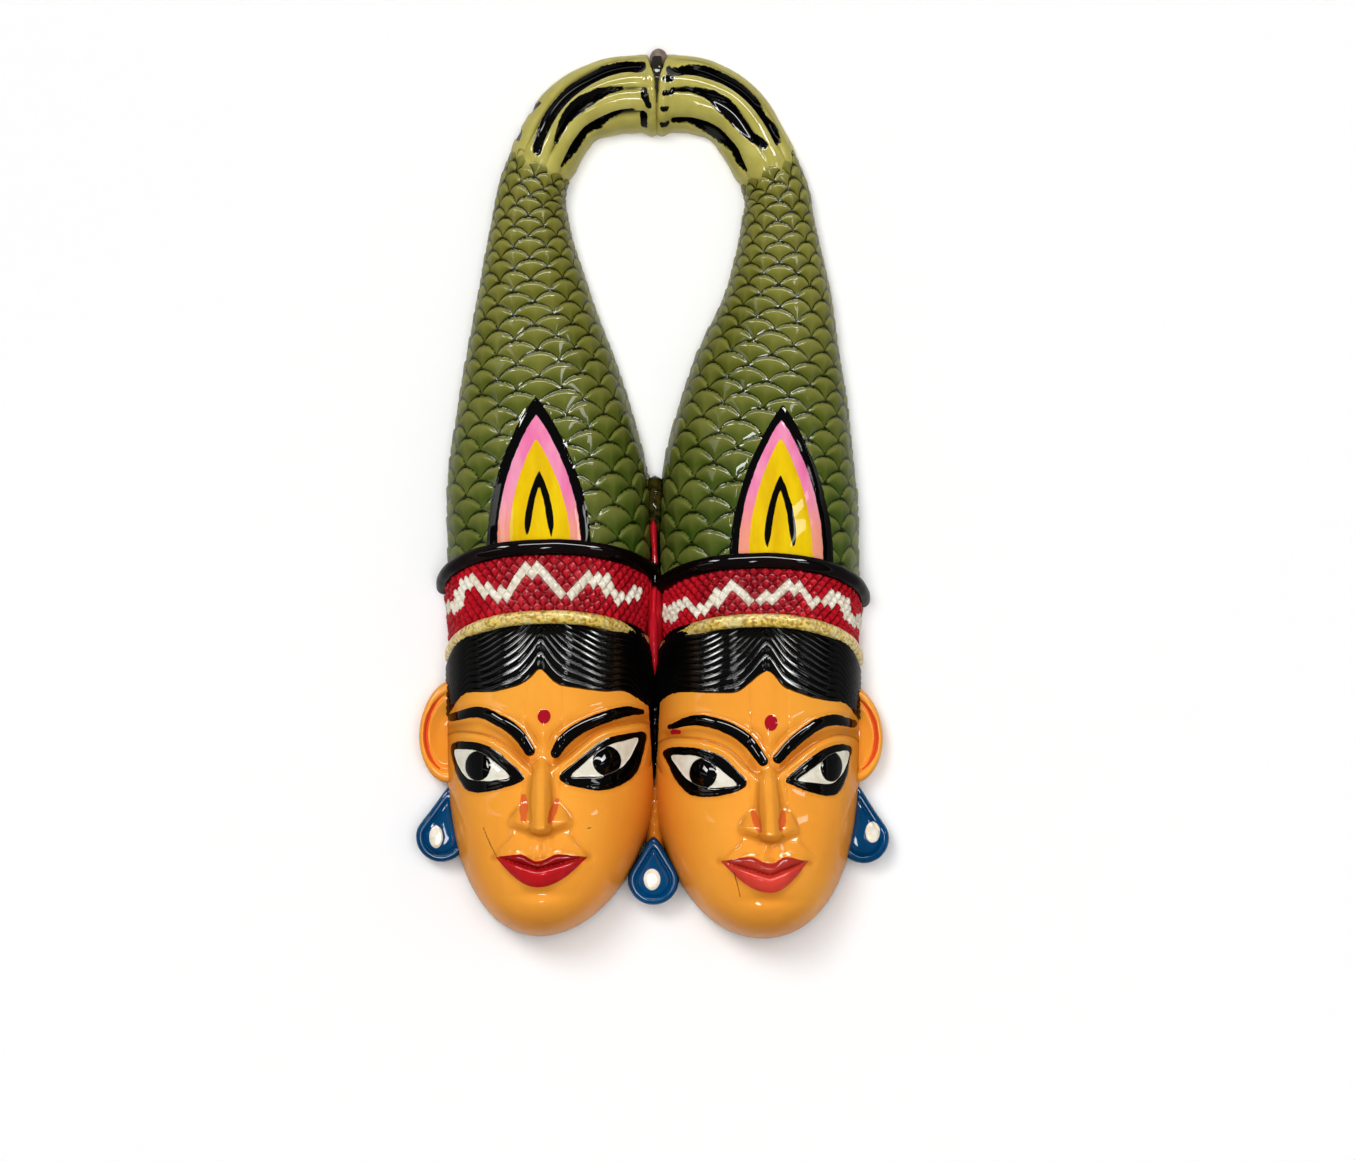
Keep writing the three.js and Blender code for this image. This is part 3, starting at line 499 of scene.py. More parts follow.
def add_mark(mesh, name, numbers):
    """Store a number on each point of a mesh."""
    attribute = mesh.attributes.new(name, "FLOAT", "POINT")
    attribute.data.foreach_set("value", np.array(numbers, np.float32))


def tidy_mesh(mesh):
    """Merge points that coincide, drop what has no area, and shade smoothly but for square corners."""
    shape = bmesh.new()
    shape.from_mesh(mesh)
    bmesh.ops.remove_doubles(shape, verts=shape.verts, dist=2e-6)
    bmesh.ops.dissolve_degenerate(shape, edges=shape.edges, dist=1e-7)
    shape.to_mesh(mesh)
    shape.free()
    if mesh.validate():
        raise RuntimeError(f"{mesh.name} has faces that are not valid")
    mesh.polygons.foreach_set("use_smooth", np.ones(len(mesh.polygons), bool))
    mesh.set_sharp_from_angle(angle=math.radians(72))


class Signal:
    """One output of a shader node; sums on it add Math nodes."""

    def __init__(self, finish, socket):
        self.finish = finish
        self.socket = socket

    def math(self, operation, first, second):
        """One Math node on two numbers or signals."""
        return self.finish.node("ShaderNodeMath", {"operation": operation}, {0: first, 1: second})

    def __add__(self, other):
        return self.math("ADD", self, other)

    def __radd__(self, other):
        return self.math("ADD", other, self)

    def __sub__(self, other):
        return self.math("SUBTRACT", self, other)

    def __rsub__(self, other):
        return self.math("SUBTRACT", other, self)

    def __mul__(self, other):
        return self.math("MULTIPLY", self, other)

    def __rmul__(self, other):
        return self.math("MULTIPLY", other, self)

    def ramp(self, low, high):
        """0 below low, 1 above high and smooth between; low may be the larger."""
        settings = {"interpolation_type": "SMOOTHSTEP"}
        if low < high:
            values = {0: self, 1: low, 2: high, 3: 0.0, 4: 1.0}
        else:
            values = {0: self, 1: high, 2: low, 3: 1.0, 4: 0.0}
        return self.finish.node("ShaderNodeMapRange", settings, values)


class Finish:
    """A material under construction: its nodes, and the patterns that its paints share."""

    def __init__(self, name):
        self.material = bpy.data.materials.new(name)
        self.material.use_nodes = True
        self.tree = self.material.node_tree
        self.tree.nodes.clear()
        self.place = self.node("ShaderNodeTexCoord", {}, {}, "Object")

    def node(self, kind, settings, values, output=0):
        """Add a node: settings first, then the values or links of its sockets; returns one output."""
        made = self.tree.nodes.new(kind)
        for key, setting in settings.items():
            setattr(made, key, setting)
        for key, value in values.items():
            self.join(value, made.inputs[key])
        return Signal(self, made.outputs[output])

    def join(self, value, socket):
        """Link a signal to a socket, or set a plain number, vector or colour on it."""
        if isinstance(value, Signal):
            self.tree.links.new(value.socket, socket)
        elif socket.type == "RGBA" and len(value) == 3:
            socket.default_value = (*value, 1.0)
        else:
            socket.default_value = value

    def mark(self, name):
        """A number stored on the piece's points, such as the distance to a painted edge in mm."""
        return self.node("ShaderNodeAttribute", {"attribute_name": name}, {}, "Fac")

    def noise(self, scale, detail=3.0, stretch=(1, 1, 1)):
        """Cloudy noise from 0 to 1 over the piece, with scale in waves per metre."""
        place = self.node("ShaderNodeMapping", {}, {"Vector": self.place, "Scale": stretch})
        values = {"Vector": place, "Scale": scale, "Detail": detail, "Roughness": 0.55}
        return self.node("ShaderNodeTexNoise", {}, values, "Fac")

    def cells(self, scale, feature):
        """Distances in a cell pattern over the piece, with scale in cells per metre."""
        values = {"Vector": self.place, "Scale": scale}
        return self.node("ShaderNodeTexVoronoi", {"feature": feature}, values, "Distance")

    def part(self, axis):
        """One coordinate of the piece in metres: 0 is x, 1 is y and 2 is z."""
        return self.node("ShaderNodeSeparateXYZ", {}, {0: self.place}, axis)

    def mix(self, share, first, second):
        """Two colours mixed by a share: 0 is the first and 1 the second."""
        settings = {"data_type": "RGBA", "blend_type": "MIX", "clamp_factor": True}
        return self.node("ShaderNodeMix", settings, {0: share, 6: first, 7: second}, 2)

    def mottled(self, first, second, scale, low=0.3, high=0.7, detail=3.0, stretch=(1, 1, 1)):
        """Two colours in soft patches: the second shows where the noise is high."""
        return self.mix(self.noise(scale, detail, stretch).ramp(low, high), first, second)

    def painted(self, mark, wobble=0.25, soft=0.12, grow=0.0):
        """1 inside a painted edge and 0 outside it, with a hand-held wobble in mm."""
        brush = (self.noise(260, 2.0) - 0.5) * (2 * wobble)
        return (self.mark(mark) + brush).ramp(grow + soft, grow - soft)

    def finished(self, colour, roughness, height=None, depth=0.0, metallic=0.0, coat=1.0,
                 coat_roughness=0.04, shine=0.0):
        """Join colour, roughness and a height in metres to the shader, under a clear coat.

        The coat is full where the plain shape faces up, thin on its shoulders, and a little
        fuller on the steep sides.
        """
        upward = self.mark("upward")
        thick = upward.ramp(*COAT_TOP) * 0.94 + upward.ramp(*COAT_SIDE) * 0.25 + 0.06
        values = {
            "Base Color": colour, "Roughness": roughness, "Metallic": metallic,
            "Coat Weight": thick * coat, "Coat Roughness": coat_roughness, "Coat IOR": COAT_IOR,
            "Specular IOR Level": shine,
        }
        if height is not None:
            values["Normal"] = self.node("ShaderNodeBump", {}, {"Height": height, "Distance": depth})
        shader = self.node("ShaderNodeBsdfPrincipled", {}, values)
        out = self.tree.nodes.new("ShaderNodeOutputMaterial")
        self.join(shader, out.inputs[0])
        return self.material


def enamel_wear(finish, colour, depth=0.12):
    """Slow brush-made changes of a paint's colour: thick paint is darker, thin paint lighter."""
    patches = finish.noise(28, 4.0)
    strokes = finish.noise(150, 3.0, (1, 0.35, 1))
    dark = tuple(c * (1 - 2.2 * depth) for c in colour)
    light = tuple(min(1.0, c * (1 + depth)) for c in colour)
    return finish.mix((patches * 0.65 + strokes * 0.35).ramp(0.34, 0.66), dark, light)


def bare_wood(finish, paints):
    """Bare wood with its grain along the mask."""
    return finish.mottled(paints.wood_dark, paints.wood_light, 90, detail=5.0, stretch=(1, 0.09, 1))


def with_bare_back(finish, colour, paints):
    """The paint stops just above the flat back, where the bare wood shows."""
    height = finish.part(2) + (finish.noise(300) - 0.5) * BARE_EDGE
    return finish.mix(height.ramp(BARE_EDGE, BARE_EDGE * 0.4), colour, bare_wood(finish, paints))


def enamel_skin(finish):
    """Height of gloss paint: soft brush ridges and fine orange peel, from 0 to 1."""
    brush = finish.noise(140, 2.0, (1, 0.5, 1))
    peel = finish.noise(900, 1.0)
    return brush * 0.8 + peel * 0.2


def spine_table(fish):
    """A fish body's spine: lengths along it, and x, y, half-width, height and direction there."""
    table = smooth_path(fish, np.linspace(0, 1, 3001))
    steps = np.hypot(*np.diff(table[:, :2], axis=0).T)
    lengths = np.concatenate([[0], np.cumsum(steps)])
    along = np.gradient(table[:, :2], lengths, axis=0)
    along /= np.linalg.norm(along, axis=1, keepdims=True)
    return lengths, np.column_stack([table, along])


def body_point(spine, length, turn, rise):
    """A point of a fish body: an arch stood across the spine, pushed out square to it by rise."""
    lengths, table = spine
    x, y, half, high, along_x, along_y = (np.interp(length, lengths, column) for column in table.T)
    across, up = arch(turn, FISH_FULLNESS)
    out_side, out_up, out = square_out(across, up, half, high, FISH_FULLNESS)
    side = across * half + rise * out_side / out
    return grid(x + along_y * side, y - along_x * side, up * high + rise * out_up / out)


def round_distance(points):
    """Signed distance round each ring from its middle point, in mm, as running sums of its steps."""
    steps = np.linalg.norm(np.diff(points, axis=1), axis=2)
    walked = np.concatenate([np.zeros((len(points), 1)), np.cumsum(steps, axis=1)], axis=1)
    return walked - walked[:, [points.shape[1] // 2]]


def flat_back(rings, count):
    """The rings with a straight row of points closing each along the flat back."""
    share = (np.arange(1, count + 1) / (count + 1))[None, :, None]
    closing = rings[:, -1:, :] * (1 - share) + rings[:, :1, :] * share
    return np.concatenate([rings, closing], axis=1)


def padded_mark(values, count, fill=None):
    """A mark's numbers continued over the back: the nearest edge's number, or a fixed one."""
    last = values[:, -1:] if fill is None else np.full_like(values[:, -1:], fill)
    return np.concatenate([values, np.repeat(last, count, axis=1)], axis=1)


def scale_edge(offset):
    """A scale's free edge, in rows: a rounded arc, highest in the scale's middle."""
    return np.maximum(0, 1 - offset ** 2) ** 0.62


def row_reach(row, carving):
    """Distance from the first row of scales to a row, as rows shrink evenly."""
    return np.log(1 + row * PITCH_FADE * carving.scale_pitch / MM) / PITCH_FADE


def scale_lattice(length, distance, carving):
    """Which scale shows at a place, and how far along it the place lies.

    Rows shrink evenly towards the tail. In each row, scales lie a width apart and every other
    row is moved by half a width. A scale's free edge is a rounded arc one row high, and the
    scale nearest the crown that reaches a place lies on top there.
    """
    reach = length - FIRST_SCALES
    pitch = carving.scale_pitch / MM * np.exp(-PITCH_FADE * reach)
    width = carving.scale_width / MM - WIDTH_FADE * reach ** 2
    row = (np.exp(PITCH_FADE * reach) - 1) / (PITCH_FADE * carving.scale_pitch / MM)
    column = distance / (width / 2)
    row = row + 0.09 * unevenness(length, distance, 13)
    column = column + 0.1 * unevenness(distance + 40, length, 11)

    base = np.floor(row)
    offset = np.abs(np.mod(column + base, 2) - 1)
    own, other = scale_edge(offset), scale_edge(1 - offset)
    under = row - base >= own
    lower = np.where(under, base + own, base - 1 + other)
    upper = np.where(under, base + 1 + other, base + own)
    beside = np.where(under, 1 - offset, offset)
    shown_row = base + under
    shown_column = 2 * np.floor((column + shown_row) / 2) + 1 - shown_row
    slope = 1.24 * beside * np.maximum(0.02, 1 - beside ** 2) ** -0.38 * pitch / (width / 2)
    cosine = 1 / np.sqrt(1 + slope ** 2)
    share = np.clip((row - lower) / np.maximum(0.02, upper - lower), 0, 1)
    return {
        "share": share, "offset": beside, "tone": chance(shown_row, shown_column),
        "to_edge": (upper - row) * pitch * cosine, "past_edge": (row - lower) * pitch * cosine,
    }


def pointed_arch(x, y, apex_x, apex_y, half, length, drift):
    """Signed distance to a flame's pointed outline, negative inside.

    Its half-width grows from the apex as the sine of a quarter turn, and its middle drifts sideways.
    """
    down = (apex_y - y) / length
    inside = np.clip(down, 1e-3, 1)
    width = half * np.sin(np.pi / 2 * inside ** 0.85)
    slope = half * np.cos(np.pi / 2 * inside ** 0.85) * np.pi / 2 * 0.85 * inside ** -0.15 / length
    beside = (np.abs(x - apex_x - drift * inside) - width) / np.sqrt(1 + slope ** 2)
    return np.where(down > 0, beside, np.hypot(x - apex_x, y - apex_y))


def flame_marks(x, y, flame):
    """Signed distances to the flame's black border, pink and yellow fields and its open wick."""
    black, pink, yellow = (pointed_arch(x, y, *flame[key]) for key in ("black", "pink", "yellow"))
    apex_x, apex_y, half, length, _ = flame["wick"]
    outer = pointed_arch(x, y, apex_x, apex_y, half, length, 0)
    inner = pointed_arch(x, y, apex_x, apex_y - 6.5, half - 3, length - 6, 0)
    wick = np.maximum(outer, -inner)
    taper = np.clip((flame["wick_foot"] + 9 - y) / 9, 0, 1.4)
    return {"black": black, "pink": pink, "yellow": yellow, "wick": wick + 1.5 * taper ** 2}


def build_fish(name, fish, flame, bands, outer, settings):
    """A scaled body: rings along the spine, pushed out by the scales and the flame.

    A scale rises with its share of the way to its free edge and rounds over at the edge. The
    flame is a smooth field with a shallow cut round each colour. Under the black roll the body
    sinks, and its last row follows the free edges of the last scales.
    """
    carving = settings.carving
    spine = spine_table(fish)
    rows, columns, back = 390, 181, 4
    turn = np.linspace(0, np.pi, columns)[None, :]
    side = outer * arch(turn, FISH_FULLNESS)[0]
    last = FIRST_SCALES + row_reach(np.array(LAST_ROW), carving)
    rim = round_distance(body_point(spine, np.full((1, columns), last), turn, 0.0))
    column = rim / (carving.scale_width / MM - WIDTH_FADE * (last - FIRST_SCALES) ** 2) * 2
    scallop = scale_edge(np.abs(np.mod(column + LAST_ROW, 2) - 1))
    end = FIRST_SCALES + row_reach(LAST_ROW + scallop, carving) + 2.5 * side
    share = np.linspace(0, 1, rows)[:, None]
    fade = PITCH_FADE * 0.8
    reach = np.log(1 + share * (np.exp(fade * (last - BODY_START)) - 1)) / fade
    length = BODY_START + reach + (end - last) * share ** 8
    plain = body_point(spine, length, turn, 0.0)
    distance = round_distance(plain)
    lattice = scale_lattice(length, distance, carving)
    flames = flame_marks(plain[..., 0], plain[..., 1], flame)
    relief = carving.scale_relief / MM
    domed = 1 - 0.32 * lattice["offset"] ** 2
    lip = (1 - (1 - np.clip(lattice["to_edge"] / 1.5, 0, 1)) ** 2) ** 0.6
    flatter = (1 - 0.6 * smoothstep(np.abs(side), 0.75, 1.0)) * (1 - 0.25 * share)
    rise = relief * (0.75 + 0.5 * lattice["tone"]) * lattice["share"] ** 0.75 * domed * lip * flatter
    smooth_field = smoothstep(flames["black"], 1.3, 0.0)
    rise = rise * (1 - smooth_field) + smooth_field * relief * 0.55
    for key in ("black", "pink", "yellow"):
        rise = rise - 0.4 * bump(flames[key] + (0.2 if key == "black" else 0), 0.5)
    sunk = 0.6 - 0.5 * smoothstep(np.abs(side), 0.6, 0.95)
    rise = rise - relief * sunk + 0.22 * unevenness(length, distance, 9)
    under_roll = bands["black"] + BAND_TILT * plain[..., 2] - plain[..., 1]
    rise = rise * smoothstep(under_roll, 2, -1.5) - 4 * smoothstep(under_roll, -1.5, 3)
    skin = body_point(spine, length, turn, rise)
    tucked = body_point(spine, length[-1:] + 0.6, turn, -3.4)
    rings = flat_back(np.concatenate([skin, tucked]), back)
    marks = {**flames, **{key: lattice[key] for key in ("share", "to_edge", "past_edge", "tone")}}
    marks["upward"] = facing_up(plain)
    for key, values in marks.items():
        marks[key] = padded_mark(np.concatenate([values, values[-1:]]), back)
    return piece_from_rings(name, rings, marks, fish_finish(settings))


def fish_finish(settings):
    """Olive green gloss over the scales, and the flame in black, pink and yellow."""
    paints = settings.paint
    finish = Finish("Scale enamel")
    up_body = finish.part(1).ramp(-0.03, 0.15)
    base = finish.mix(up_body, paints.scale_foot, paints.scale_neck)
    patches = finish.noise(34, 4.0)
    base = finish.mix(patches.ramp(0.35, 0.7) * 0.3, base, paints.scale_thin_and_lit)
    base = finish.mix(finish.mark("tone") * 0.3, base, paints.scale_shade)
    # Painted light: each scale lightens towards its free edge, more so towards the tail
    painted_edge_light = finish.mark("share").ramp(0.25, 1.0) * (up_body * 0.3 + 0.34)
    base = finish.mix(painted_edge_light, base, paints.scale_thin_and_lit)
    # Dark pooled paint and painted shade in the groove past each free edge; painted shade on the steep
    # wall under the edge
    groove = (finish.mark("past_edge") + (finish.noise(400) - 0.5) * 0.5).ramp(1.5, 0.35)
    base = finish.mix(groove * 0.94, base, paints.groove)
    wall_shade = finish.mark("to_edge").ramp(0.35, 0.05)
    base = finish.mix(wall_shade * 0.7, base, paints.groove)
    colour = finish.mix(finish.painted("black", 0.35), base, paints.black)
    pink = finish.mottled(paints.pink, paints.pink_light, 120, 0.35, 0.7, stretch=(1, 0.3, 1))
    low = finish.part(1).ramp(0.004, -0.02)
    pink = finish.mix(low * 0.85, pink, paints.peach)
    colour = finish.mix(finish.painted("pink", 0.35), colour, pink)
    yellow = finish.mottled(paints.yellow, paints.yellow_deep, 110, 0.3, 0.75, stretch=(1, 0.3, 1))
    colour = finish.mix(finish.painted("yellow", 0.3), colour, yellow)
    colour = finish.mix(finish.painted("wick", 0.25), colour, paints.black)
    colour = with_bare_back(finish, colour, paints)
    rough = finish.noise(60) * 0.16 + 0.2
    return finish.finished(colour, rough, enamel_skin(finish), 0.00012)


def build_tail(name, fish, outer, grooves, strokes, settings):
    """A tail: rings along the spine, pushed out by the ribs and cut by the black strokes.

    Each rib is a rounded arc between two grooves, whose places shift from the scales to the
    seam. The end swells into the seam's lip and is notched at its outer edge.
    """
    carving = settings.carving
    spine = spine_table(fish)
    total = spine[0][-1]
    rows, columns, back = 150, 121, 4
    start = FIRST_SCALES + row_reach(np.array(LAST_ROW), carving) - 9
    share = np.linspace(0, 1, rows)[:, None]
    length = start + (total - start) * (1 - (1 - share) ** 1.35)
    turn = np.linspace(0, np.pi, columns)[None, :]
    side = outer * arch(turn, FISH_FULLNESS)[0]
    high_notch = 2.6 * smoothstep(side, 0.3, 1.0)
    length = length - high_notch * smoothstep(length, total - 18, total)
    plain = body_point(spine, length, turn, 0.0)
    relief = carving.rib_relief / MM
    grown = smoothstep(length, start + 6, start + 26)
    back_from_seam = smoothstep(total - length, 8, 62)
    places = []
    for seam, scaled in grooves:
        places.append(seam + (scaled - seam) * back_from_seam + 0.02 * np.sin(length / 9 + 5 * seam))
    ribs = np.zeros((rows, columns))
    for low, high in zip([-1.5 + 0 * length, *places], [*places, 1.35 + 0 * length]):
        middle, half = (low + high) / 2, (high - low) / 2
        ribs = np.maximum(ribs, np.maximum(0, 1 - ((side - middle) / half) ** 2) ** 0.6)
    rise = relief * (ribs - 1)
    place = seen(*np.moveaxis(plain, -1, 0))
    stroke = nearest_stroke(*place, strokes)
    rise = rise * grown + relief * 0.25 - 0.9 * smoothstep(stroke, 0.7, -0.5)
    from_end = total - high_notch - length
    lip = 2.0 * bump(from_end - 2.9, 2.3) * (1 - 0.9 * smoothstep(side, 0.5, 1.0))
    fill = bump(from_end - 2.9, 4.2)
    rise = rise * (1 - 0.75 * fill) + lip
    rise = rise - 2.4 * smoothstep(from_end, 1.3, 0.0)
    rise = rise - 2.2 * (1 - smoothstep(length, start + 5, start + 17))
    rise = rise + 0.2 * unevenness(length, side * 15, 7)
    skin = body_point(spine, length, turn, rise)
    marks = {"from_end": from_end, "height": rise, "upward": facing_up(plain)}
    marks = {key: padded_mark(values, back) for key, values in marks.items()}
    marks["stroke"] = padded_mark(stroke, back, FAR)
    return piece_from_rings(name, flat_back(skin, back), marks, tail_finish(settings))


def tail_finish(settings):
    """Khaki gloss with black strokes brushed roughly along the grooves."""
    paints = settings.paint
    finish = Finish("Tail enamel")
    base = finish.mottled(paints.tail, paints.tail_light, 70, 0.35, 0.68, 4.0)
    # Painted shade: the khaki darkens down into the grooves between the ribs
    low = finish.mark("height").ramp(-0.2, -1.9)
    base = finish.mix(low * 0.95, base, paints.tail_shade)
    dry = (finish.noise(420, 2.0) - 0.5) * 1.3
    brush = (finish.mark("stroke") + dry + (finish.noise(90) - 0.5) * 1.2).ramp(0.6, 0.25)
    colour = finish.mix(brush, base, paints.black)
    seam = (finish.mark("from_end") + (finish.noise(500) - 0.5) * 0.6).ramp(0.7, 0.2)
    colour = finish.mix(seam * 0.8, colour, paints.seam)
    colour = with_bare_back(finish, colour, paints)
    return finish.finished(colour, finish.noise(80) * 0.15 + 0.2, enamel_skin(finish), 0.0001)


def crown_point(bands, turn, down, rise):
    """A place on a crown: round it by turn, down it from black roll to gold roll, and out by rise."""
    half = bands["top"] + (bands["foot"] - bands["top"]) * down - 1.45 + rise
    high = CROWN_DEPTH_TOP + (CROWN_DEPTH_FOOT - CROWN_DEPTH_TOP) * down + rise
    across, up = arch(turn, FISH_FULLNESS)
    y = bands["black"] + (bands["gold"] - bands["black"]) * down + BAND_TILT * up * high
    return grid(bands["x"] + across * half, y, up * high)


def even_turns(bands, down, count):
    """Turns that lie equal distances apart round a crown, and their distances from its front.

    The last two results are a finer table of distances and turns.
    """
    fine = np.linspace(0, np.pi, 2001)
    points = crown_point(bands, fine, down, 0.0)
    walked = np.concatenate([[0], np.cumsum(np.linalg.norm(np.diff(points, axis=0), axis=1))])
    distance = np.linspace(0, walked[-1], count)
    return np.interp(distance, walked, fine), distance - walked[-1] / 2, walked - walked[-1] / 2, fine


def build_roll(name, bands, roll, material):
    """A roll round a crown: circles stood across a tilted arch, with hand-made dents."""
    down, radius, dents = roll
    turn, distance, _, _ = even_turns(bands, down, 240)
    line = crown_point(bands, turn, down, 0.1)
    along = np.gradient(line, axis=0)
    along /= np.linalg.norm(along, axis=1, keepdims=True)
    lengthwise = np.array([0.0, 1.0, 0.0]) - along * along[:, [1]]
    lengthwise /= np.linalg.norm(lengthwise, axis=1, keepdims=True)
    outward = np.cross(along, lengthwise)
    angle = np.linspace(0, 2 * np.pi, 24, endpoint=False)
    size = radius + 0.14 * unevenness(distance[:, None], angle[None, :] * 3, 7)
    size = size - dents * np.maximum(0, unevenness(distance[:, None], angle[None, :] * 4, 1.5)) ** 2
    along_y = np.cos(angle)[None, :, None] * lengthwise[:, None, :]
    away = np.sin(angle)[None, :, None] * outward[:, None, :]
    rings = line[:, None, :] + size[..., None] * (along_y + away)
    rings[0, :, 2] = 0.0
    rings[-1, :, 2] = 0.0
    return piece_from_rings(name, rings, {}, material)


def build_band(name, bands, zigzag, settings):
    """The band between the rolls: a net of cut diamonds, each a low blunt pyramid.

    Two slanting counts, round plus down and round minus down, number the diamonds. A diamond is
    white if its middle lies on the zigzag's brush stroke.
    """
    carving = settings.carving
    count, rows = 440, 54
    turn, distance, walked, fine = even_turns(bands, 0.5, count)
    wide, tall = carving.diamond_width / MM, carving.diamond_height / MM
    down = np.linspace(0.03, 0.97, rows)[None, :]
    drop = down * BAND_HEIGHT
    around = distance[:, None] + 0.5 * unevenness(distance[:, None] + 7, drop, 12)
    drop = drop + 0.4 * unevenness(drop + 31, distance[:, None], 10)
    first, second = around / wide + drop / tall, around / wide - drop / tall
    cell_first, cell_second = np.floor(first), np.floor(second)
    inside = 0.5 - np.maximum(np.abs(first - cell_first - 0.5), np.abs(second - cell_second - 0.5))
    middle_around = (cell_first + cell_second + 1) / 2 * wide
    middle_drop = (cell_first - cell_second) / 2 * tall
    middle_turn = np.interp(middle_around, walked, fine)
    middle = seen(*np.moveaxis(crown_point(bands, middle_turn, middle_drop / BAND_HEIGHT, 0.0), -1, 0))
    lift = chance(cell_first, cell_second)
    edge_mm = inside * wide * tall / np.hypot(wide, tall)
    white = stroke_distance(*middle, zigzag, 2.3, 30.0) < 0
    relief = carving.diamond_relief / MM
    tilt = (first - cell_first - 0.5) * (chance(cell_second, cell_first) - 0.5) * 0.7
    pyramid = smoothstep(inside, 0.0, 0.26) ** 0.8 + 0.5 * inside + tilt
    rise = relief * pyramid * (0.8 + 0.4 * lift) - 1.5
    outer = crown_point(bands, turn[:, None], down, rise)
    inner = crown_point(bands, turn[:, None], down[:, [-1, 0]], -6.0)
    rings = np.concatenate([outer, inner], axis=1)
    marks = {
        "zigzag": np.where(white, -edge_mm, edge_mm), "cut": edge_mm, "tone": lift,
        "upward": facing_up(crown_point(bands, turn[:, None], down, 0.0)),
    }
    marks = {key: padded_mark(np.asarray(values, float), 2) for key, values in marks.items()}
    return piece_from_rings(name, rings, marks, band_finish(settings))


def band_finish(settings):
    """Red gloss over the diamonds, darker in the cuts, with the zigzag's diamonds in cream white."""
    paints = settings.paint
    finish = Finish("Band enamel")
    red = enamel_wear(finish, paints.red, 0.14)
    red = finish.mix(finish.mark("tone") * 0.25, red, paints.red_deep)
    # Painted shade: the red darkens in the cuts round each diamond, and the cream beside the cuts
    cut = (finish.mark("cut") + (finish.noise(600) - 0.5) * 0.2).ramp(0.6, 0.05)
    red = finish.mix(cut * 0.9, red, paints.red_deep)
    cream = finish.mottled(paints.cream, paints.cream_shade, 180, 0.35, 0.75)
    cream = finish.mix(finish.mark("cut").ramp(0.35, 0.0) * 0.5, cream, paints.cream_shade)
    white = (finish.mark("zigzag") + (finish.noise(330, 2.0) - 0.5) * 0.16).ramp(-0.01, -0.07)
    colour = finish.mix(white, red, cream)
    colour = with_bare_back(finish, colour, paints)
    return finish.finished(colour, finish.noise(120) * 0.14 + 0.2, enamel_skin(finish), 0.0001)


def head_section(head, y):
    """A head's outline at y: its middle x and its half-width, a squared ellipse down to the chin."""
    middle = head["middle"]
    below = y < middle
    reach = np.where(below, (middle - y) / (middle - head["chin"]), (y - middle) / HEAD_TOP_REACH)
    reach = np.clip(reach, 0, 1)
    power = np.where(below, head["fullness"], HEAD_TOP_FULLNESS)
    half = head["half"] * np.maximum(1e-9, 1 - reach ** power) ** (1 / power)
    return head["x"] + np.where(below, head["lean"] * reach ** 2, 0), half


def front_line(head, y):
    """Depth of a head down its middle: a drawn profile, rounded over at the chin like a ball's edge."""
    past = np.clip((CHIN_ROUND_FROM - y) / (CHIN_ROUND_FROM - head["chin"]), 0, 1)
    return look_up(PROFILE, y) * rounded_over(past, CHIN_FULLNESS)


def smooth_max(first, second, width):
    """The larger of two heights, with a soft corner of some width where they cross."""
    share = np.clip(0.5 + (first - second) / (2 * width), 0, 1)
    return second + (first - second) * share + width * share * (1 - share)


def nose_height(head, side, y):
    """A nose: a wedge that grows down from the bridge, with two low wings at its foot.

    Its flanks are nearly straight, and its top falls with the square of the distance from the
    middle. The underside slopes back to the lip, and hangs lowest in the middle.
    """
    bridge, foot = head["bridge"], head["nose_foot"]
    down = (bridge - y) / (bridge - foot)
    grown = np.clip(down, 0, 1)
    height = (3.4 + 16.2 * grown ** 1.1) * smoothstep(down, -0.24, 0.05)
    spread = 8.3 + 0.9 * grown
    flat = 1.0 + 0.9 * grown ** 2
    across = np.clip((spread - np.abs(side)) / (spread - flat), 0, 1)
    ridge = height * (0.7 * across + 0.3 * across * across * (3 - 2 * across))
    ridge = ridge - 0.13 * side ** 2 * (across > 0)
    flare = smoothstep(down, 0.45, 0.8)
    left, right = head["wings"]
    reach = spread + flare * (np.where(side < 0, -left, right) - spread)
    edge = np.maximum(0, 1 - (np.abs(side) / reach) ** 4) ** 0.6
    wings = (1.0 + 6.2 * flare) * smoothstep(down, -0.1, 0.2) * edge
    hang = foot + 3.6 * np.clip(np.abs(side) / 12, 0, 1.3) ** 1.5
    return smooth_max(ridge, wings, 2.2) * smoothstep(y, hang, hang + 4.8)


def mouth_lines(head, x):
    """Upper edge, parting and lower edge of the lips at x, and the share out from the middle.

    The upper edge is two soft peaks with a dip between, the parting falls evenly from the corners
    to the middle, and the lower edge is a pointed half ellipse.
    """
    mouth = head["mouth"]
    left, right = mouth["halves"]
    side = x - mouth["x"]
    out = np.clip(np.where(side < 0, -side / left, side / right), 0, 1)
    corner = mouth["corner"]
    line = mouth["line"] + (corner - mouth["line"]) * out ** 1.05
    peak = mouth["peak"] + (corner - mouth["peak"]) * smoothstep(out, 0.4, 1.0)
    upper = peak + (mouth["dip"] - mouth["peak"]) * smoothstep(out, 0.42, 0.02)
    lower = corner - 0.6 + (mouth["foot"] - corner + 0.6) * np.maximum(0, 1 - out ** 2) ** 1.15
    return upper, line, lower, out


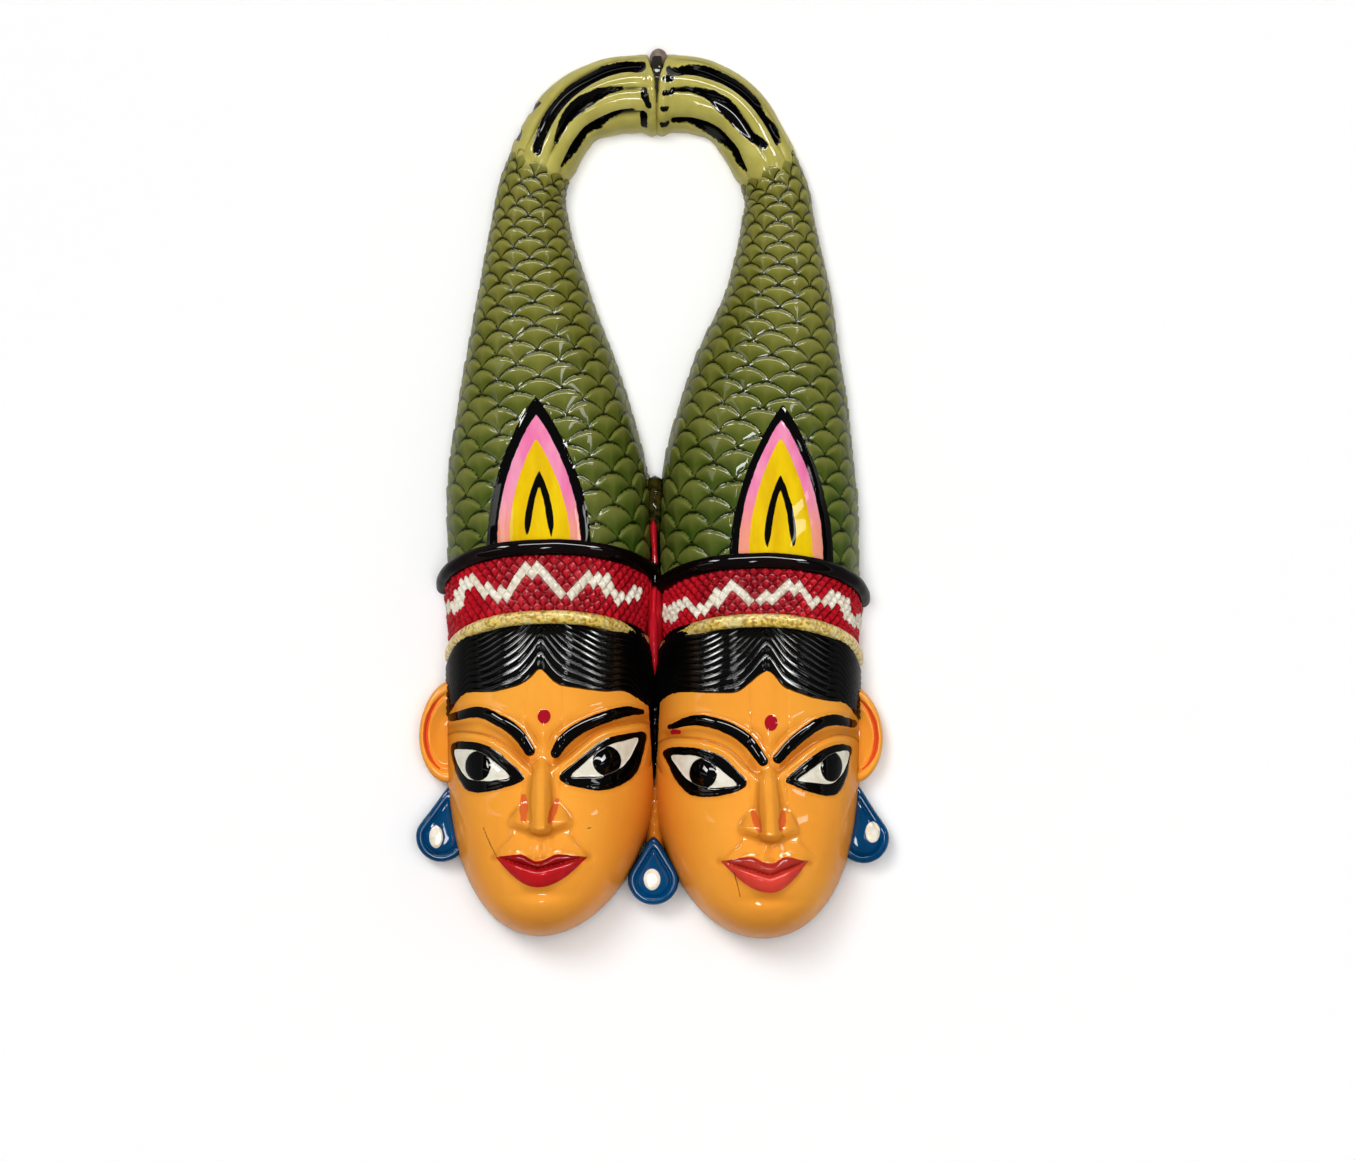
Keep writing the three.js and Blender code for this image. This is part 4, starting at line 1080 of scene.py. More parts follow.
def face_relief(head, x, y):
    """How far the carved features stand off the smooth head, and the painted edges' distances.

    Broad forms are bell-shaped bumps. Lids, brows and lips are soft steps, bumps and rounded
    swellings of the distance to their drawn edges.
    """
    side = x - straight([(-mid_y, mid_x) for mid_y, mid_x in head["midline"]], -y)
    foot = head["nose_foot"]
    upper, line, lower, out = mouth_lines(head, x)
    mouth = head["mouth"]
    corner = mouth["corner"]
    rise = np.zeros_like(x)
    # Broad forms: cheeks, muzzle, the groove under the lips and the chin
    for cheek in (-1, 1):
        rise += 2.6 * bump(side - cheek * 25, 12) * bump(y - foot - 6, 15)
    rise += 1.5 * bump(side, 17) * bump(y - mouth["line"] - 3, 11)
    rise -= 2.0 * bump(side, 15) * bump(y - mouth["foot"] + 2.4, 3.6)
    rise += 1.8 * bump(side, 14) * bump(y - mouth["foot"] + 9.5, 7.0)
    # Eye sockets, lids and the ball of each eye
    rims, whites, irises = [], [], []
    for eye in head["eyes"]:
        rim = outline_distance(x, y, eye["rim"])
        white = outline_distance(x, y, eye["white"])
        iris = dot_distance(x, y, eye["iris"])
        middle = np.mean(eye["rim"], axis=0)
        rise -= 4.2 * bump(x - middle[0], 20) * bump(y - middle[1] - 2, 12.5)
        rise += 3.4 * bump(x - middle[0], 14) * bump(y - middle[1], 8)
        above = smoothstep(y - middle[1], -4, 3)
        rise += above * (1.5 * bump(rim - 1.6, 1.5) - 1.5 * bump(rim - LID_FOLD, 0.9))
        rise += 1.3 * smoothstep(rim, 0.3, -0.6) * smoothstep(white, -0.5, 0.4)
        rise += 0.25 * bump(rim + 1.8, 0.5) * smoothstep(white, 0.2, 0.8)
        ball = 1.3 * np.sqrt(np.clip(-white / 6, 0, 1))
        rise += ball - 0.5 * bump(rim + 1.6, 0.35) * smoothstep(white, 0.3, 0.9)
        inward = np.clip(-iris / (eye["iris"][2] + eye["iris"][3]) * 2, 0, 1)
        pupil = 0.25 * smoothstep(iris, 0.2, -0.2) + 1.3 * np.sqrt(inward * (2 - inward))
        rise += pupil * smoothstep(white, 0.3, -0.6)
        rims.append(rim)
        whites.append(white)
        irises.append(iris)
    rim, white, iris = (np.minimum(*pair) for pair in (rims, whites, irises))
    # Brows
    brow = np.minimum(*(stroke_distance(x, y, drawn, radii) for drawn, radii in head["brows"])) - 0.25
    rise += 1.5 * np.sqrt(np.clip(0.15 - brow / 2.2, 0, 1))
    under_brow = smoothstep(y, head["bridge"] + 30, head["bridge"] + 16)
    rise -= 1.6 * bump(brow - 2.4, 2.0) * smoothstep(rim, 2, 5) * under_brow
    # Nose, the groove under it and the creases beside it
    nose = nose_height(head, side, y)
    rise = rise * (1 - 0.8 * smoothstep(nose, 0.5, 4)) + nose
    muzzle = 12.3 + 7 * smoothstep(y, foot + 2, corner)
    fold = 1.3 * smoothstep(muzzle - np.abs(side), -0.9, 0.9) * smoothstep(y, corner - 2, corner + 2)
    rise += fold * smoothstep(y, foot + 5, foot + 1)
    under = (foot + mouth["dip"]) / 2
    rise += (0.8 * bump(np.abs(side) - 3.1, 1.4) - 0.7 * bump(side, 1.6)) * bump(y - under - 0.6, 4)
    # Lips
    ends = np.abs(x - mouth["x"]) - np.where(x < mouth["x"], *mouth["halves"])
    upper_lip = np.minimum(FAR, np.maximum.reduce([y - upper, line - y, ends]))
    lower_lip = np.minimum(FAR, np.maximum.reduce([y - line, lower - y, ends]))
    share_up = np.clip((upper - y) / np.maximum(0.3, upper - line), 0, 1)
    share_low = np.clip((line - y) / np.maximum(0.3, line - lower), 0, 1)
    full = 1 - out ** 2.2
    rise += full * 3.3 * np.sin(np.pi * share_up ** 1.25) ** 0.7 * (upper_lip < 0.3)
    rise += full * 4.6 * np.sin(np.pi * share_low ** 0.72) ** 0.75 * (lower_lip < 0.3)
    rise += full * 1.2 * smoothstep(np.maximum(-2, np.maximum(y - upper, lower - y)), 2.5, -0.6)
    rise -= 1.5 * (1 - out ** 4) * bump(y - line, 0.55) * (ends < 0)
    for corner_x in (mouth["x"] - mouth["halves"][0] - 1, mouth["x"] + mouth["halves"][1] + 1):
        rise -= 1.4 * bump(x - corner_x, 2.4) * bump(y - corner + 0.4, 2.6)
    # Forehead spot, fine cracks, rouge, slips of the brush and the shade in the eye sockets
    bindi = dot_distance(x, y, head["bindi"])
    rise += 0.25 * smoothstep(bindi, 0.3, -0.3)
    crack = nearest_stroke(x, y, [(drawn, 0.12) for drawn in head["cracks"]])
    rise -= 0.35 * smoothstep(crack, 0.35, -0.1)
    rouge = nearest_stroke(x, y, [(drawn, (wide * 0.6, wide, wide * 0.6))
                                  for drawn, wide in head["nose_strokes"]])
    smudge = nearest_stroke(x, y, [(drawn, (wide, wide * 0.7)) for drawn, wide in head["smudges"]])
    socket = smoothstep(brow, 6.5, 1.0) * smoothstep(rim, 3.2, 4.6) * smoothstep(rim, 9.2, 6)
    under_line = y < straight([(5, -112), (12, -99), (40, -92)], np.abs(side)) + 1
    shade = socket * (np.abs(side) > 5) * under_line
    marks = {
        "rim": rim, "white": white, "iris": iris, "brow": brow, "bindi": bindi, "crack": crack,
        "rouge": rouge, "smudge": smudge, "upper_lip": upper_lip, "lower_lip": lower_lip,
        "socket": shade, "shaded": shaded(rise, 5),
        "lid_line": np.abs(rim - LID_FOLD) + FAR * (y < head["eyes"][0]["iris"][1]),
    }
    return rise, marks


def shaded(rise, reach):
    """How deep a place lies under the mean height of its neighbours, from 0 to 1; painted shade goes
    there.

    The mean is a running one over reach rows and columns each way, taken from summed rows.
    """
    mean = rise
    for axis in (0, 1):
        wide = np.pad(mean, [(reach + 1, reach) if axis == k else (0, 0) for k in (0, 1)], mode="edge")
        summed = np.cumsum(wide, axis=axis)
        size = mean.shape[axis]
        ahead = np.take(summed, np.arange(size) + 2 * reach + 1, axis=axis)
        mean = (ahead - np.take(summed, np.arange(size), axis=axis)) / (2 * reach + 1)
    return np.clip(mean - rise, 0, 1)


def hollow_depth(head, x, y):
    """Depth of the hollow behind a head: an oval dome with steep walls, 0 on the rim round it."""
    across = (x - head["x"] - 0.2 * head["lean"]) / (head["half"] - RIM_WALL)
    share = np.hypot(across, (y - HOLLOW_MIDDLE) / HOLLOW_REACH)
    return HOLLOW_DEPTH * np.maximum(0, 1 - share ** 2.6) ** 0.55


def hairline_at(head, x):
    """Place of the hairline at x: drawn on the front view, and moved in as it is nearer the camera."""
    further = look_up(head["hairline"], x) - VIEW_MIDDLE[1]
    return VIEW_MIDDLE[1] + further * (1 - HAIRLINE_DEPTH / VIEW_HEIGHT)


def build_face(name, head, settings):
    """A face: rows down a domed head with its features, closed by the hollowed back.

    A row is a squared ellipse as deep as the head's profile. The features' rise is added to its
    depth and fades at the sides. Under the hair the skin draws in.
    """
    columns, back = 217, 30
    crown_y, hair_y, jaw_y, chin = -44, -74, -170, head["chin"]
    top = np.linspace(crown_y, hair_y, 12, endpoint=False)
    front = np.linspace(hair_y, jaw_y, 186, endpoint=False)
    low = jaw_y - (jaw_y - chin) * np.sin(np.linspace(0, np.pi / 2, 52))
    y = np.concatenate([top, front, low])
    y[-1] = chin + 0.01
    y = y[:, None]
    middle, half = head_section(head, y)
    share = np.linspace(-1, 1, columns)[None, :]
    across = np.sin(np.pi / 2 * share * (1 - 0.12 * (1 - share ** 2)))
    hairline = hairline_at(head, middle + across * half)
    under = 4.5 * smoothstep(y - hairline, 2.5, 7.5)
    x = middle + across * (half - under)
    up = rounded_over(across, HEAD_FULLNESS)
    depth = np.maximum(0, front_line(head, y) * up - under)
    y = np.broadcast_to(y, x.shape)
    rise, marks = face_relief(head, *seen(x, y, depth))
    fade = 1 - smoothstep(np.abs(across), 0.86, 1.0)
    z = depth + fade * rise + 0.18 * unevenness(x, y, 12) * up
    face = grid(x, y, np.maximum(0, z))
    share = np.linspace(1, -1, back + 2)[None, 1:-1]
    back_x = middle + share * half
    behind = grid(back_x, y[:, :1], hollow_depth(head, back_x, y[:, :1]))
    rings = np.concatenate([face, behind], axis=1)
    marks["valley"] = np.abs(x - 0.6) - straight(VALLEY_HALF, -y) + FAR * (y < -VALLEY_HALF[-1][0])
    marks = {key: padded_mark(np.asarray(values, float), back, FAR) for key, values in marks.items()}
    marks["socket"][:, columns:] = 0
    marks["bare"] = np.concatenate([np.zeros((len(y), columns)), np.ones((len(y), back))], axis=1)
    # Painted shade: the skin darkens towards the sides and down the chin
    low = np.clip((CHIN_ROUND_FROM - y) / (CHIN_ROUND_FROM - chin), 0, 1)
    marks["edge"] = padded_mark(np.maximum(0.84 * across ** 2, 0.97 * low ** 1.1), back)
    return piece_from_rings(name, rings, marks, face_finish(head is RIGHT_HEAD, settings))


def face_finish(right, settings):
    """Orange gloss skin with painted eyes, brows, lips and forehead spot, and bare wood behind."""
    paints = settings.paint
    finish = Finish("Face enamel")
    skin = finish.mottled(paints.skin, paints.skin_light, 22)
    # Painted shade towards the sides and down the chin
    skin = finish.mix(finish.mark("edge").ramp(0.36, 1.0) * 0.62, skin, paints.skin_shade)
    # Painted shade and painted reflection under the brows, in the eye sockets
    skin = finish.mix(finish.mark("socket") * 0.8, skin, paints.skin_shade)
    # Painted shade in the creases, deepest where the surface lies lowest under its neighbours
    skin = finish.mix(finish.mark("shaded").ramp(0.05, 0.9) * 0.5, skin, paints.skin_shade)
    # Painted shade: a dark line along the crease of each upper lid's fold
    fold = finish.mark("lid_line").ramp(0.6, 0.0)
    skin = finish.mix(fold * 0.6, skin, paints.skin_line)
    colour = finish.mix(finish.painted("rouge", 0.4, 0.25) * 0.85, skin, paints.rouge)
    colour = finish.mix(finish.painted("smudge", 0.5), colour, paints.bindi)
    lip = paints.lip_right if right else paints.lip_left
    deep = tuple(c * 0.62 for c in lip)
    colour = finish.mix(finish.painted("lower_lip", 0.2), colour, enamel_wear(finish, lip, 0.1))
    colour = finish.mix(finish.painted("upper_lip", 0.2), colour, enamel_wear(finish, deep, 0.1))
    colour = finish.mix(finish.painted("bindi", 0.2), colour, paints.bindi)
    colour = finish.mix(finish.painted("brow", 0.35), colour, paints.black)
    colour = finish.mix(finish.painted("rim", 0.35), colour, paints.black)
    inside = finish.painted("white", 0.2)
    white = finish.mottled(paints.cream, paints.cream_shade, 150, 0.3, 0.8)
    colour = finish.mix(inside, colour, white)
    colour = finish.mix(finish.painted("iris", 0.12) * inside, colour, paints.black)
    colour = finish.mix(finish.painted("crack", 0.1, 0.1, 0.1), colour, paints.crack)
    colour = finish.mix(finish.painted("valley", 0.5), colour, paints.black)
    # The skin turns dark along its lowest 2.4 mm above the flat back
    low = (finish.part(2) + (finish.noise(300) - 0.5) * 0.001).ramp(0.0024, 0.0014)
    colour = finish.mix(low, colour, paints.back_edge)
    bare = finish.mark("bare")
    colour = finish.mix(bare.ramp(0.3, 0.7), colour, bare_wood(finish, paints))
    rough = finish.noise(60) * 0.12 + 0.18 + bare * 0.5
    height = enamel_skin(finish) + finish.cells(110, "SMOOTH_F1") * bare * 9.0
    return finish.finished(colour, rough, height, 0.00017, coat=bare.ramp(0.7, 0.3))


def build_hair(name, head, settings):
    """Hair over the brow: combed strands between the gold roll and the hairline.

    Strands are numbered down the hair, and each rises as the absolute sine of its number. Near the
    parting the number grows as a small power of the way down, so that strands sweep up to it, and
    where they crowd together they fade. The hair sinks under the roll and at the parting.
    """
    carving = settings.carving
    rows, columns = 150, 210
    share = np.linspace(-1, 1, columns)
    across = np.sin(np.pi / 2 * share * (1 - 0.45 * (1 - share ** 2)))[:, None]
    level = head["middle"] + 40
    _, half = head_section(head, np.array(level))
    flat_x = head["x"] + across * half
    up = rounded_over(across, HEAD_FULLNESS)
    hairline = hairline_at(head, flat_x)
    roll_foot = head["bands"]["gold"] + BAND_TILT * up * CROWN_DEPTH_FOOT + 1.5
    down = np.linspace(0, 1, rows)[None, :]
    y = roll_foot + (hairline - roll_foot) * down
    middle, half = head_section(head, y)
    x = middle + across * half
    depth = front_line(head, y) * up
    from_parting = np.abs(x - head["parting"])
    fan = down ** (1 / (1 + 3.4 * np.exp(-from_parting / 8)))
    fan = fan - 0.35 * smoothstep(np.abs(across), 0.72, 1)
    wave = 0.012 * np.sin(from_parting / 5.5) + 0.010 * np.sin(from_parting / 2.9 + 2)
    number = (fan + wave) * carving.strands
    ridge = np.abs(np.sin(np.pi * number)) ** 0.55
    fine = np.abs(np.sin(np.pi * number * 3 + 0.6 * np.sin(from_parting / 6)))
    fine = fine * smoothstep(from_parting, 5, 16)
    relief = carving.strand_relief / MM
    body = 2.3 * smoothstep(1 - down, 0.0, 0.05) ** 0.6 - 0.5
    crowd = np.maximum(np.abs(np.gradient(number, axis=0)), np.abs(np.gradient(number, axis=1)))
    clear = smoothstep(np.hypot(from_parting, down * 25), 1.5, 5) * smoothstep(crowd, 0.34, 0.2)
    rise = body * up ** 0.5 + relief * clear * (0.78 * ridge + 0.22 * fine - 0.9)
    rise = rise - 3.2 * smoothstep(down, 0.3, 0.0) * smoothstep(up, 0.8, 0.3)
    rise = rise - 1.1 * bump(from_parting, 1.1) * smoothstep(down, 1.0, 0.85)
    high = np.maximum(1, front_line(head, y))
    out_side, out_up, out = square_out(across, up, half, high, HEAD_FULLNESS)
    skin = grid(x + rise * out_side / out, y, depth + rise * out_up / out)
    inner = grid(x - 5 * (out_side / out), y, np.maximum(0, depth - 6 * (out_up / out)))[:, [-1, 0]]
    rings = np.concatenate([skin, inner], axis=1)
    rings[[0, -1], :, 2] = 0.0
    upward = facing_up(grid(x, y, depth))
    marks = {"strand": padded_mark(ridge, 2), "upward": padded_mark(upward, 2)}
    return piece_from_rings(name, rings, marks, hair_finish(settings))


def hair_finish(settings):
    """Black gloss, worn a little paler in patches, but not in the combed grooves."""
    paints = settings.paint
    finish = Finish("Hair enamel")
    tone = finish.mottled(paints.black, paints.black_worn, 60, detail=4.0)
    colour = finish.mix(finish.mark("strand").ramp(0.5, 0.1) * 0.7, tone, paints.black)
    colour = with_bare_back(finish, colour, paints)
    rough = finish.noise(70) * 0.15 + 0.16
    return finish.finished(colour, rough, enamel_skin(finish), 0.00008)


def disc_grid(profile):
    """Turns round a flat piece, and the share and height of its rings along a drawn profile."""
    turn = np.linspace(0, 2 * np.pi, 110, endpoint=False)[None, :]
    path = smooth_path(profile, np.linspace(0, 1, DISC_RINGS))
    return turn, path[:, :1], np.maximum(0, path[:, 1:])


def build_ear(name, ear, settings):
    """An ear: rings of an oval, from the flat back up a rounded rim and down into the bowl.

    The painted line follows the groove inside the rim, and its half-width shrinks towards its ends.
    """
    side = np.sign(ear["x"])
    turn, share, z = disc_grid(EAR_PROFILE)
    up, out = np.sin(turn), np.cos(turn)
    x = ear["x"] + side * share * ear["reach"] * out + ear["lean"] * up * share / 4
    y = ear["y"] + share * ear["half"] * up * (1 - 0.12 * out)
    z = z + 0.25 * unevenness(x, y, 6) * (z > 3)
    behind = np.arange(DISC_RINGS)[:, None] < 20
    from_outside = np.abs(np.mod(turn + np.pi, 2 * np.pi) - np.pi)
    arc = np.abs(share - 0.76) * ear["reach"] * 1.1 + FAR * (np.abs(turn - np.pi) < 1.75)
    arc = np.where(behind, FAR, arc - 1.15 * np.clip(1.45 - from_outside, 0.2, 1))
    marks = {"arc": arc, "bowl": np.where(behind, 0, smoothstep(share, 0.74, 0.6))}
    return piece_from_rings(name, grid(x, y, z), marks, ear_finish(settings))


def ear_finish(settings):
    """Orange gloss with a red-orange line in the groove of the ear."""
    paints = settings.paint
    finish = Finish("Ear enamel")
    skin = finish.mottled(paints.skin, paints.skin_light, 22)
    # Painted shade in the bowl inside the ear's rim
    skin = finish.mix(finish.mark("bowl") * 0.3, skin, paints.skin_shade)
    colour = finish.mix(finish.painted("arc", 0.4, 0.2), skin, paints.rouge)
    colour = with_bare_back(finish, colour, paints)
    return finish.finished(colour, finish.noise(60) * 0.12 + 0.2, enamel_skin(finish), 0.0001)


def build_earring(name, ring, settings):
    """A teardrop earring: rings of a drop, with a rounded rim, a groove and a field inside it.

    A drop is a circle that is stretched by a power of the cosine, and narrowed, towards its hook.
    """
    front = ring["front"]
    profile = [
        (0.02, 0), (0.5, 0), (0.92, 0), (0.96, 1), (0.985, 4), (1.0, 9), (1.0, front - 6),
        (0.985, front - 3.4), (0.95, front - 1.4), (0.89, front - 0.6), (0.82, front - 0.4),
        (0.75, front - 0.6), (0.71, front - 1.3), (0.68, front - 1.7), (0.64, front - 1.2),
        (0.56, front - 0.5), (0.4, front - 0.1), (0.2, front), (0.02, front),
    ]
    turn, share, z = disc_grid(profile)
    hook, centre = np.array(ring["hook"]), np.array(ring["centre"])
    reach = np.linalg.norm(hook - centre)
    axis = (hook - centre) / reach
    along, out = np.cos(turn), np.sin(turn)
    radius = ring["radius"]
    stretched = np.where(along > 0, radius + (reach - radius) * np.abs(along) ** 2.2, radius)
    narrow = np.where(along > 0, 1 - 0.42 * along ** 2, 1)
    lengthwise = share * stretched * along
    sideways = share * radius * out * narrow
    x = centre[0] + axis[0] * lengthwise - axis[1] * sideways
    y = centre[1] + axis[1] * lengthwise + axis[0] * sideways
    spot = dot_distance(x, y, ring["oval"])
    on_front = np.arange(DISC_RINGS)[:, None] > 28
    z = z + on_front * 0.9 * smoothstep(spot, 0.5, -0.9)
    marks = {"spot": np.where(on_front, spot, FAR)}
    return piece_from_rings(name, grid(x, y, z), marks, blue_finish(settings))


def blue_finish(settings):
    """Blue gloss with a cream oval spot."""
    paints = settings.paint
    finish = Finish("Blue enamel")
    blue = enamel_wear(finish, paints.blue, 0.16)
    cream = finish.mottled(paints.cream, paints.cream_shade, 260, 0.35, 0.75)
    colour = finish.mix(finish.painted("spot", 0.25), blue, cream)
    colour = with_bare_back(finish, colour, paints)
    return finish.finished(colour, finish.noise(60) * 0.12 + 0.16, enamel_skin(finish), 0.0001)


def build_web(name, settings):
    """The strip of wood between the two bodies and heads: a rounded wall from the fork to the chins."""
    y = np.concatenate([np.linspace(7.5, 5, 8), np.linspace(4.6, -166, 150)])[:, None]
    turn = np.linspace(0, np.pi, 25)[None, :]
    across, up = arch(turn, 2.6)
    x = 0.8 + across * straight(WEB_HALF, -y)
    z = up * (straight(WEB_HEIGHT, -y) + 0.9 * unevenness(x, y, 3))
    rings = flat_back(grid(x, y, z), 3)
    return piece_from_rings(name, rings, {}, web_finish(settings))


def web_finish(settings):
    """Dark green and khaki at the fork, then black with a stretch of red, then skin orange below."""
    paints = settings.paint
    finish = Finish("Fork enamel")
    y = finish.part(1) + (finish.noise(260) - 0.5) * 0.004
    # Painted shade: dark green and dark khaki in the fork between the bodies, and darker skin in the
    # strip between the chins
    run = finish.mottled(paints.groove, paints.tail_shade, 330, 0.4, 0.6)
    colour = finish.mix(y.ramp(-0.012, -0.02), run, paints.black)
    colour = finish.mix(y.ramp(-0.118, -0.128), colour, paints.skin_shade)
    colour = finish.mix(y.ramp(-0.037, -0.04) * y.ramp(-0.07, -0.064), colour, paints.red)
    colour = with_bare_back(finish, colour, paints)
    return finish.finished(colour, finish.noise(60) * 0.15 + 0.22, enamel_skin(finish), 0.0001)


def build_drip(name, settings):
    """Red paint run down the seam between the crowns: a rounded bead that thickens and thins."""
    y = np.linspace(DRIP_TOP, DRIP_FOOT, 150)[:, None]
    turn = np.linspace(0, np.pi, 25)[None, :]
    across, up = arch(turn, 2.0)
    half = 1.2 + 0.4 * unevenness(y, 3, 5) + 0.9 * bump(y + 62, 7)
    half = half * np.minimum(1, np.minimum((DRIP_TOP - y) / 3, (y - DRIP_FOOT) / 7) ** 0.7 + 0.02)
    high = 2.4 + 0.6 * unevenness(y, 9, 4)
    x = 0.5 + 0.35 * np.sin(y / 7) + across * half
    rings = grid(x, y, straight(DRIP_BASE, -y) + up * high)
    rings = np.concatenate([rings, rings[:, [-1, 0]] - (0.0, 0.0, 6.0)], axis=1)
    return piece_from_rings(name, rings, {}, drip_finish(settings))


def drip_finish(settings):
    """Thick red gloss with a patch of black run into it."""
    paints = settings.paint
    finish = Finish("Drip enamel")
    red = enamel_wear(finish, paints.red, 0.18)
    y = finish.part(1) + (finish.noise(300) - 0.5) * 0.006
    black = y.ramp(-0.0275, -0.0305) * y.ramp(-0.0425, -0.0395)
    colour = finish.mix(black, red, paints.black)
    return finish.finished(colour, finish.noise(60) * 0.1 + 0.14, enamel_skin(finish), 0.00015)


def build_seam(name, settings):
    """The dark filled notch between the tails: a lumpy wedge that narrows down the front."""
    down = np.linspace(0, 1, 60)[:, None]
    turn = np.linspace(0, 2 * np.pi, 32, endpoint=False)[None, :]
    half = straight(SEAM_HALF, down)
    lump = 1 + 0.12 * unevenness(down * 40, 3, 3)
    x = SEAM["x"] + np.cos(turn) * half * lump
    z = straight(SEAM_FRONT, down) + np.sin(turn) * half * 0.9 * lump - 0.6
    rings = grid(x, SEAM["top"] - SEAM["length"] * down, z)
    return piece_from_rings(name, rings, {}, seam_finish(settings))


def seam_finish(settings):
    """Dark glossy filler with pale specks."""
    paints = settings.paint
    finish = Finish("Seam enamel")
    specks = finish.cells(420, "F1").ramp(0.2, 0.12)
    colour = finish.mix(specks * 0.7, paints.seam, paints.cream)
    return finish.finished(colour, 0.2, enamel_skin(finish), 0.0002)


def build_peg(name, settings):
    """The wooden peg behind the seam: circles along Y, rounded over at the top."""
    path = smooth_path(PEG_PROFILE, np.linspace(0, 1, 40))
    angle = np.linspace(0, 2 * np.pi, 40, endpoint=False)[None, :]
    radius = path[:, 1:] * (1 + 0.05 * np.sin(3 * angle + 1) + 0.03 * np.sin(7 * angle))
    y = PEG["y"] + path[:, :1]
    rings = grid(PEG["x"] + radius * np.cos(angle), y, PEG["z"] + radius * np.sin(angle))
    return piece_from_rings(name, rings, {}, peg_finish(settings))


def peg_finish(settings):
    """Bare grey-brown wood with fine lengthwise grain."""
    paints = settings.paint
    finish = Finish("Bare wood")
    grain = finish.noise(420, 5.0, (1, 0.12, 1))
    colour = finish.mix(grain.ramp(0.3, 0.7), paints.wood_dark, paints.wood_grey)
    return finish.finished(colour, grain * 0.2 + 0.5, grain, 0.0003, coat=0.1, coat_roughness=0.3,
                           shine=0.3)


def gold_finish(settings):
    """Gold paint over a hammered roll: bright on the lumps, brown in the dents."""
    paints = settings.paint
    finish = Finish("Gold paint")
    dents = finish.noise(620, 3.0)
    patches = finish.noise(150, 3.0)
    colour = finish.mix(dents.ramp(0.35, 0.62), paints.gold_deep, paints.gold)
    colour = finish.mix(patches.ramp(0.45, 0.72) * 0.6, colour, paints.gold_light)
    colour = with_bare_back(finish, colour, paints)
    return finish.finished(colour, dents * 0.25 + 0.2, dents, 0.0009, metallic=0.08, coat=0.8,
                           coat_roughness=0.1, shine=0.5)


def roll_finish(settings):
    """Near-black maroon gloss, brushed along the roll."""
    paints = settings.paint
    finish = Finish("Roll enamel")
    colour = finish.mottled(paints.maroon, paints.maroon_light, 60, 0.4, 0.8, 4.0)
    colour = with_bare_back(finish, colour, paints)
    return finish.finished(colour, finish.noise(80) * 0.12 + 0.16, enamel_skin(finish), 0.0001)


def mm_size(name, description, default, low, high):
    """A size that a user may change, shown in Blender's length unit."""
    return FloatProperty(name=name, description=description, default=default * MM, min=low * MM,
                         max=high * MM, subtype="DISTANCE", unit="LENGTH", precision=5)


def stage_place(name, description, default, low, high):
    """A length or a place of the stage that a user may change, in metres."""
    return FloatProperty(name=name, description=description, default=default, min=low, max=high,
                         subtype="DISTANCE", unit="LENGTH")


def strength(name, description, default, high):
    """The strength of a light."""
    return FloatProperty(name=name, description=description, default=default, min=0.0, max=high)


def paint_colour(name, description, red, green, blue):
    """A paint colour that a user may change, given as screen values from 0 to 255."""
    screen = (red, green, blue)
    linear = [((c / 255 + 0.055) / 1.055) ** 2.4 if c > 10 else c / 255 / 12.92 for c in screen]
    return FloatVectorProperty(name=name, description=description, default=linear, min=0.0, max=1.0,
                               size=3, subtype="COLOR")


class MaskCarving(bpy.types.PropertyGroup):
    """Sizes of the cut patterns."""

    scale_pitch: mm_size("Scale pitch", "Distance between rows of scales at the crown", 7.5, 4, 14)
    scale_width: mm_size("Scale width", "Width of a scale at the crown", 21.8, 17, 30)
    scale_relief: mm_size("Scale relief", "How far a scale's free edge stands up", 2.2, 0.3, 3)
    diamond_width: mm_size("Diamond width", "Width of one cut diamond of the crown bands", 5.0, 3, 12)
    diamond_height: mm_size("Diamond height", "Height of one cut diamond of the crown bands", 6.0, 3, 12)
    diamond_relief: mm_size("Diamond relief", "Height of a diamond over the cuts round it", 1.7, 0.2, 2.5)
    rib_relief: mm_size("Rib relief", "Depth of the grooves between the tails' ribs", 3.0, 0.3, 4)
    strand_relief: mm_size("Strand relief", "Depth of the combed grooves in the hair", 1.1, 0.1, 2)
    strands: IntProperty(name="Strands", description="Combed strands from the roll to the hairline",
                         default=12, min=4, max=30)


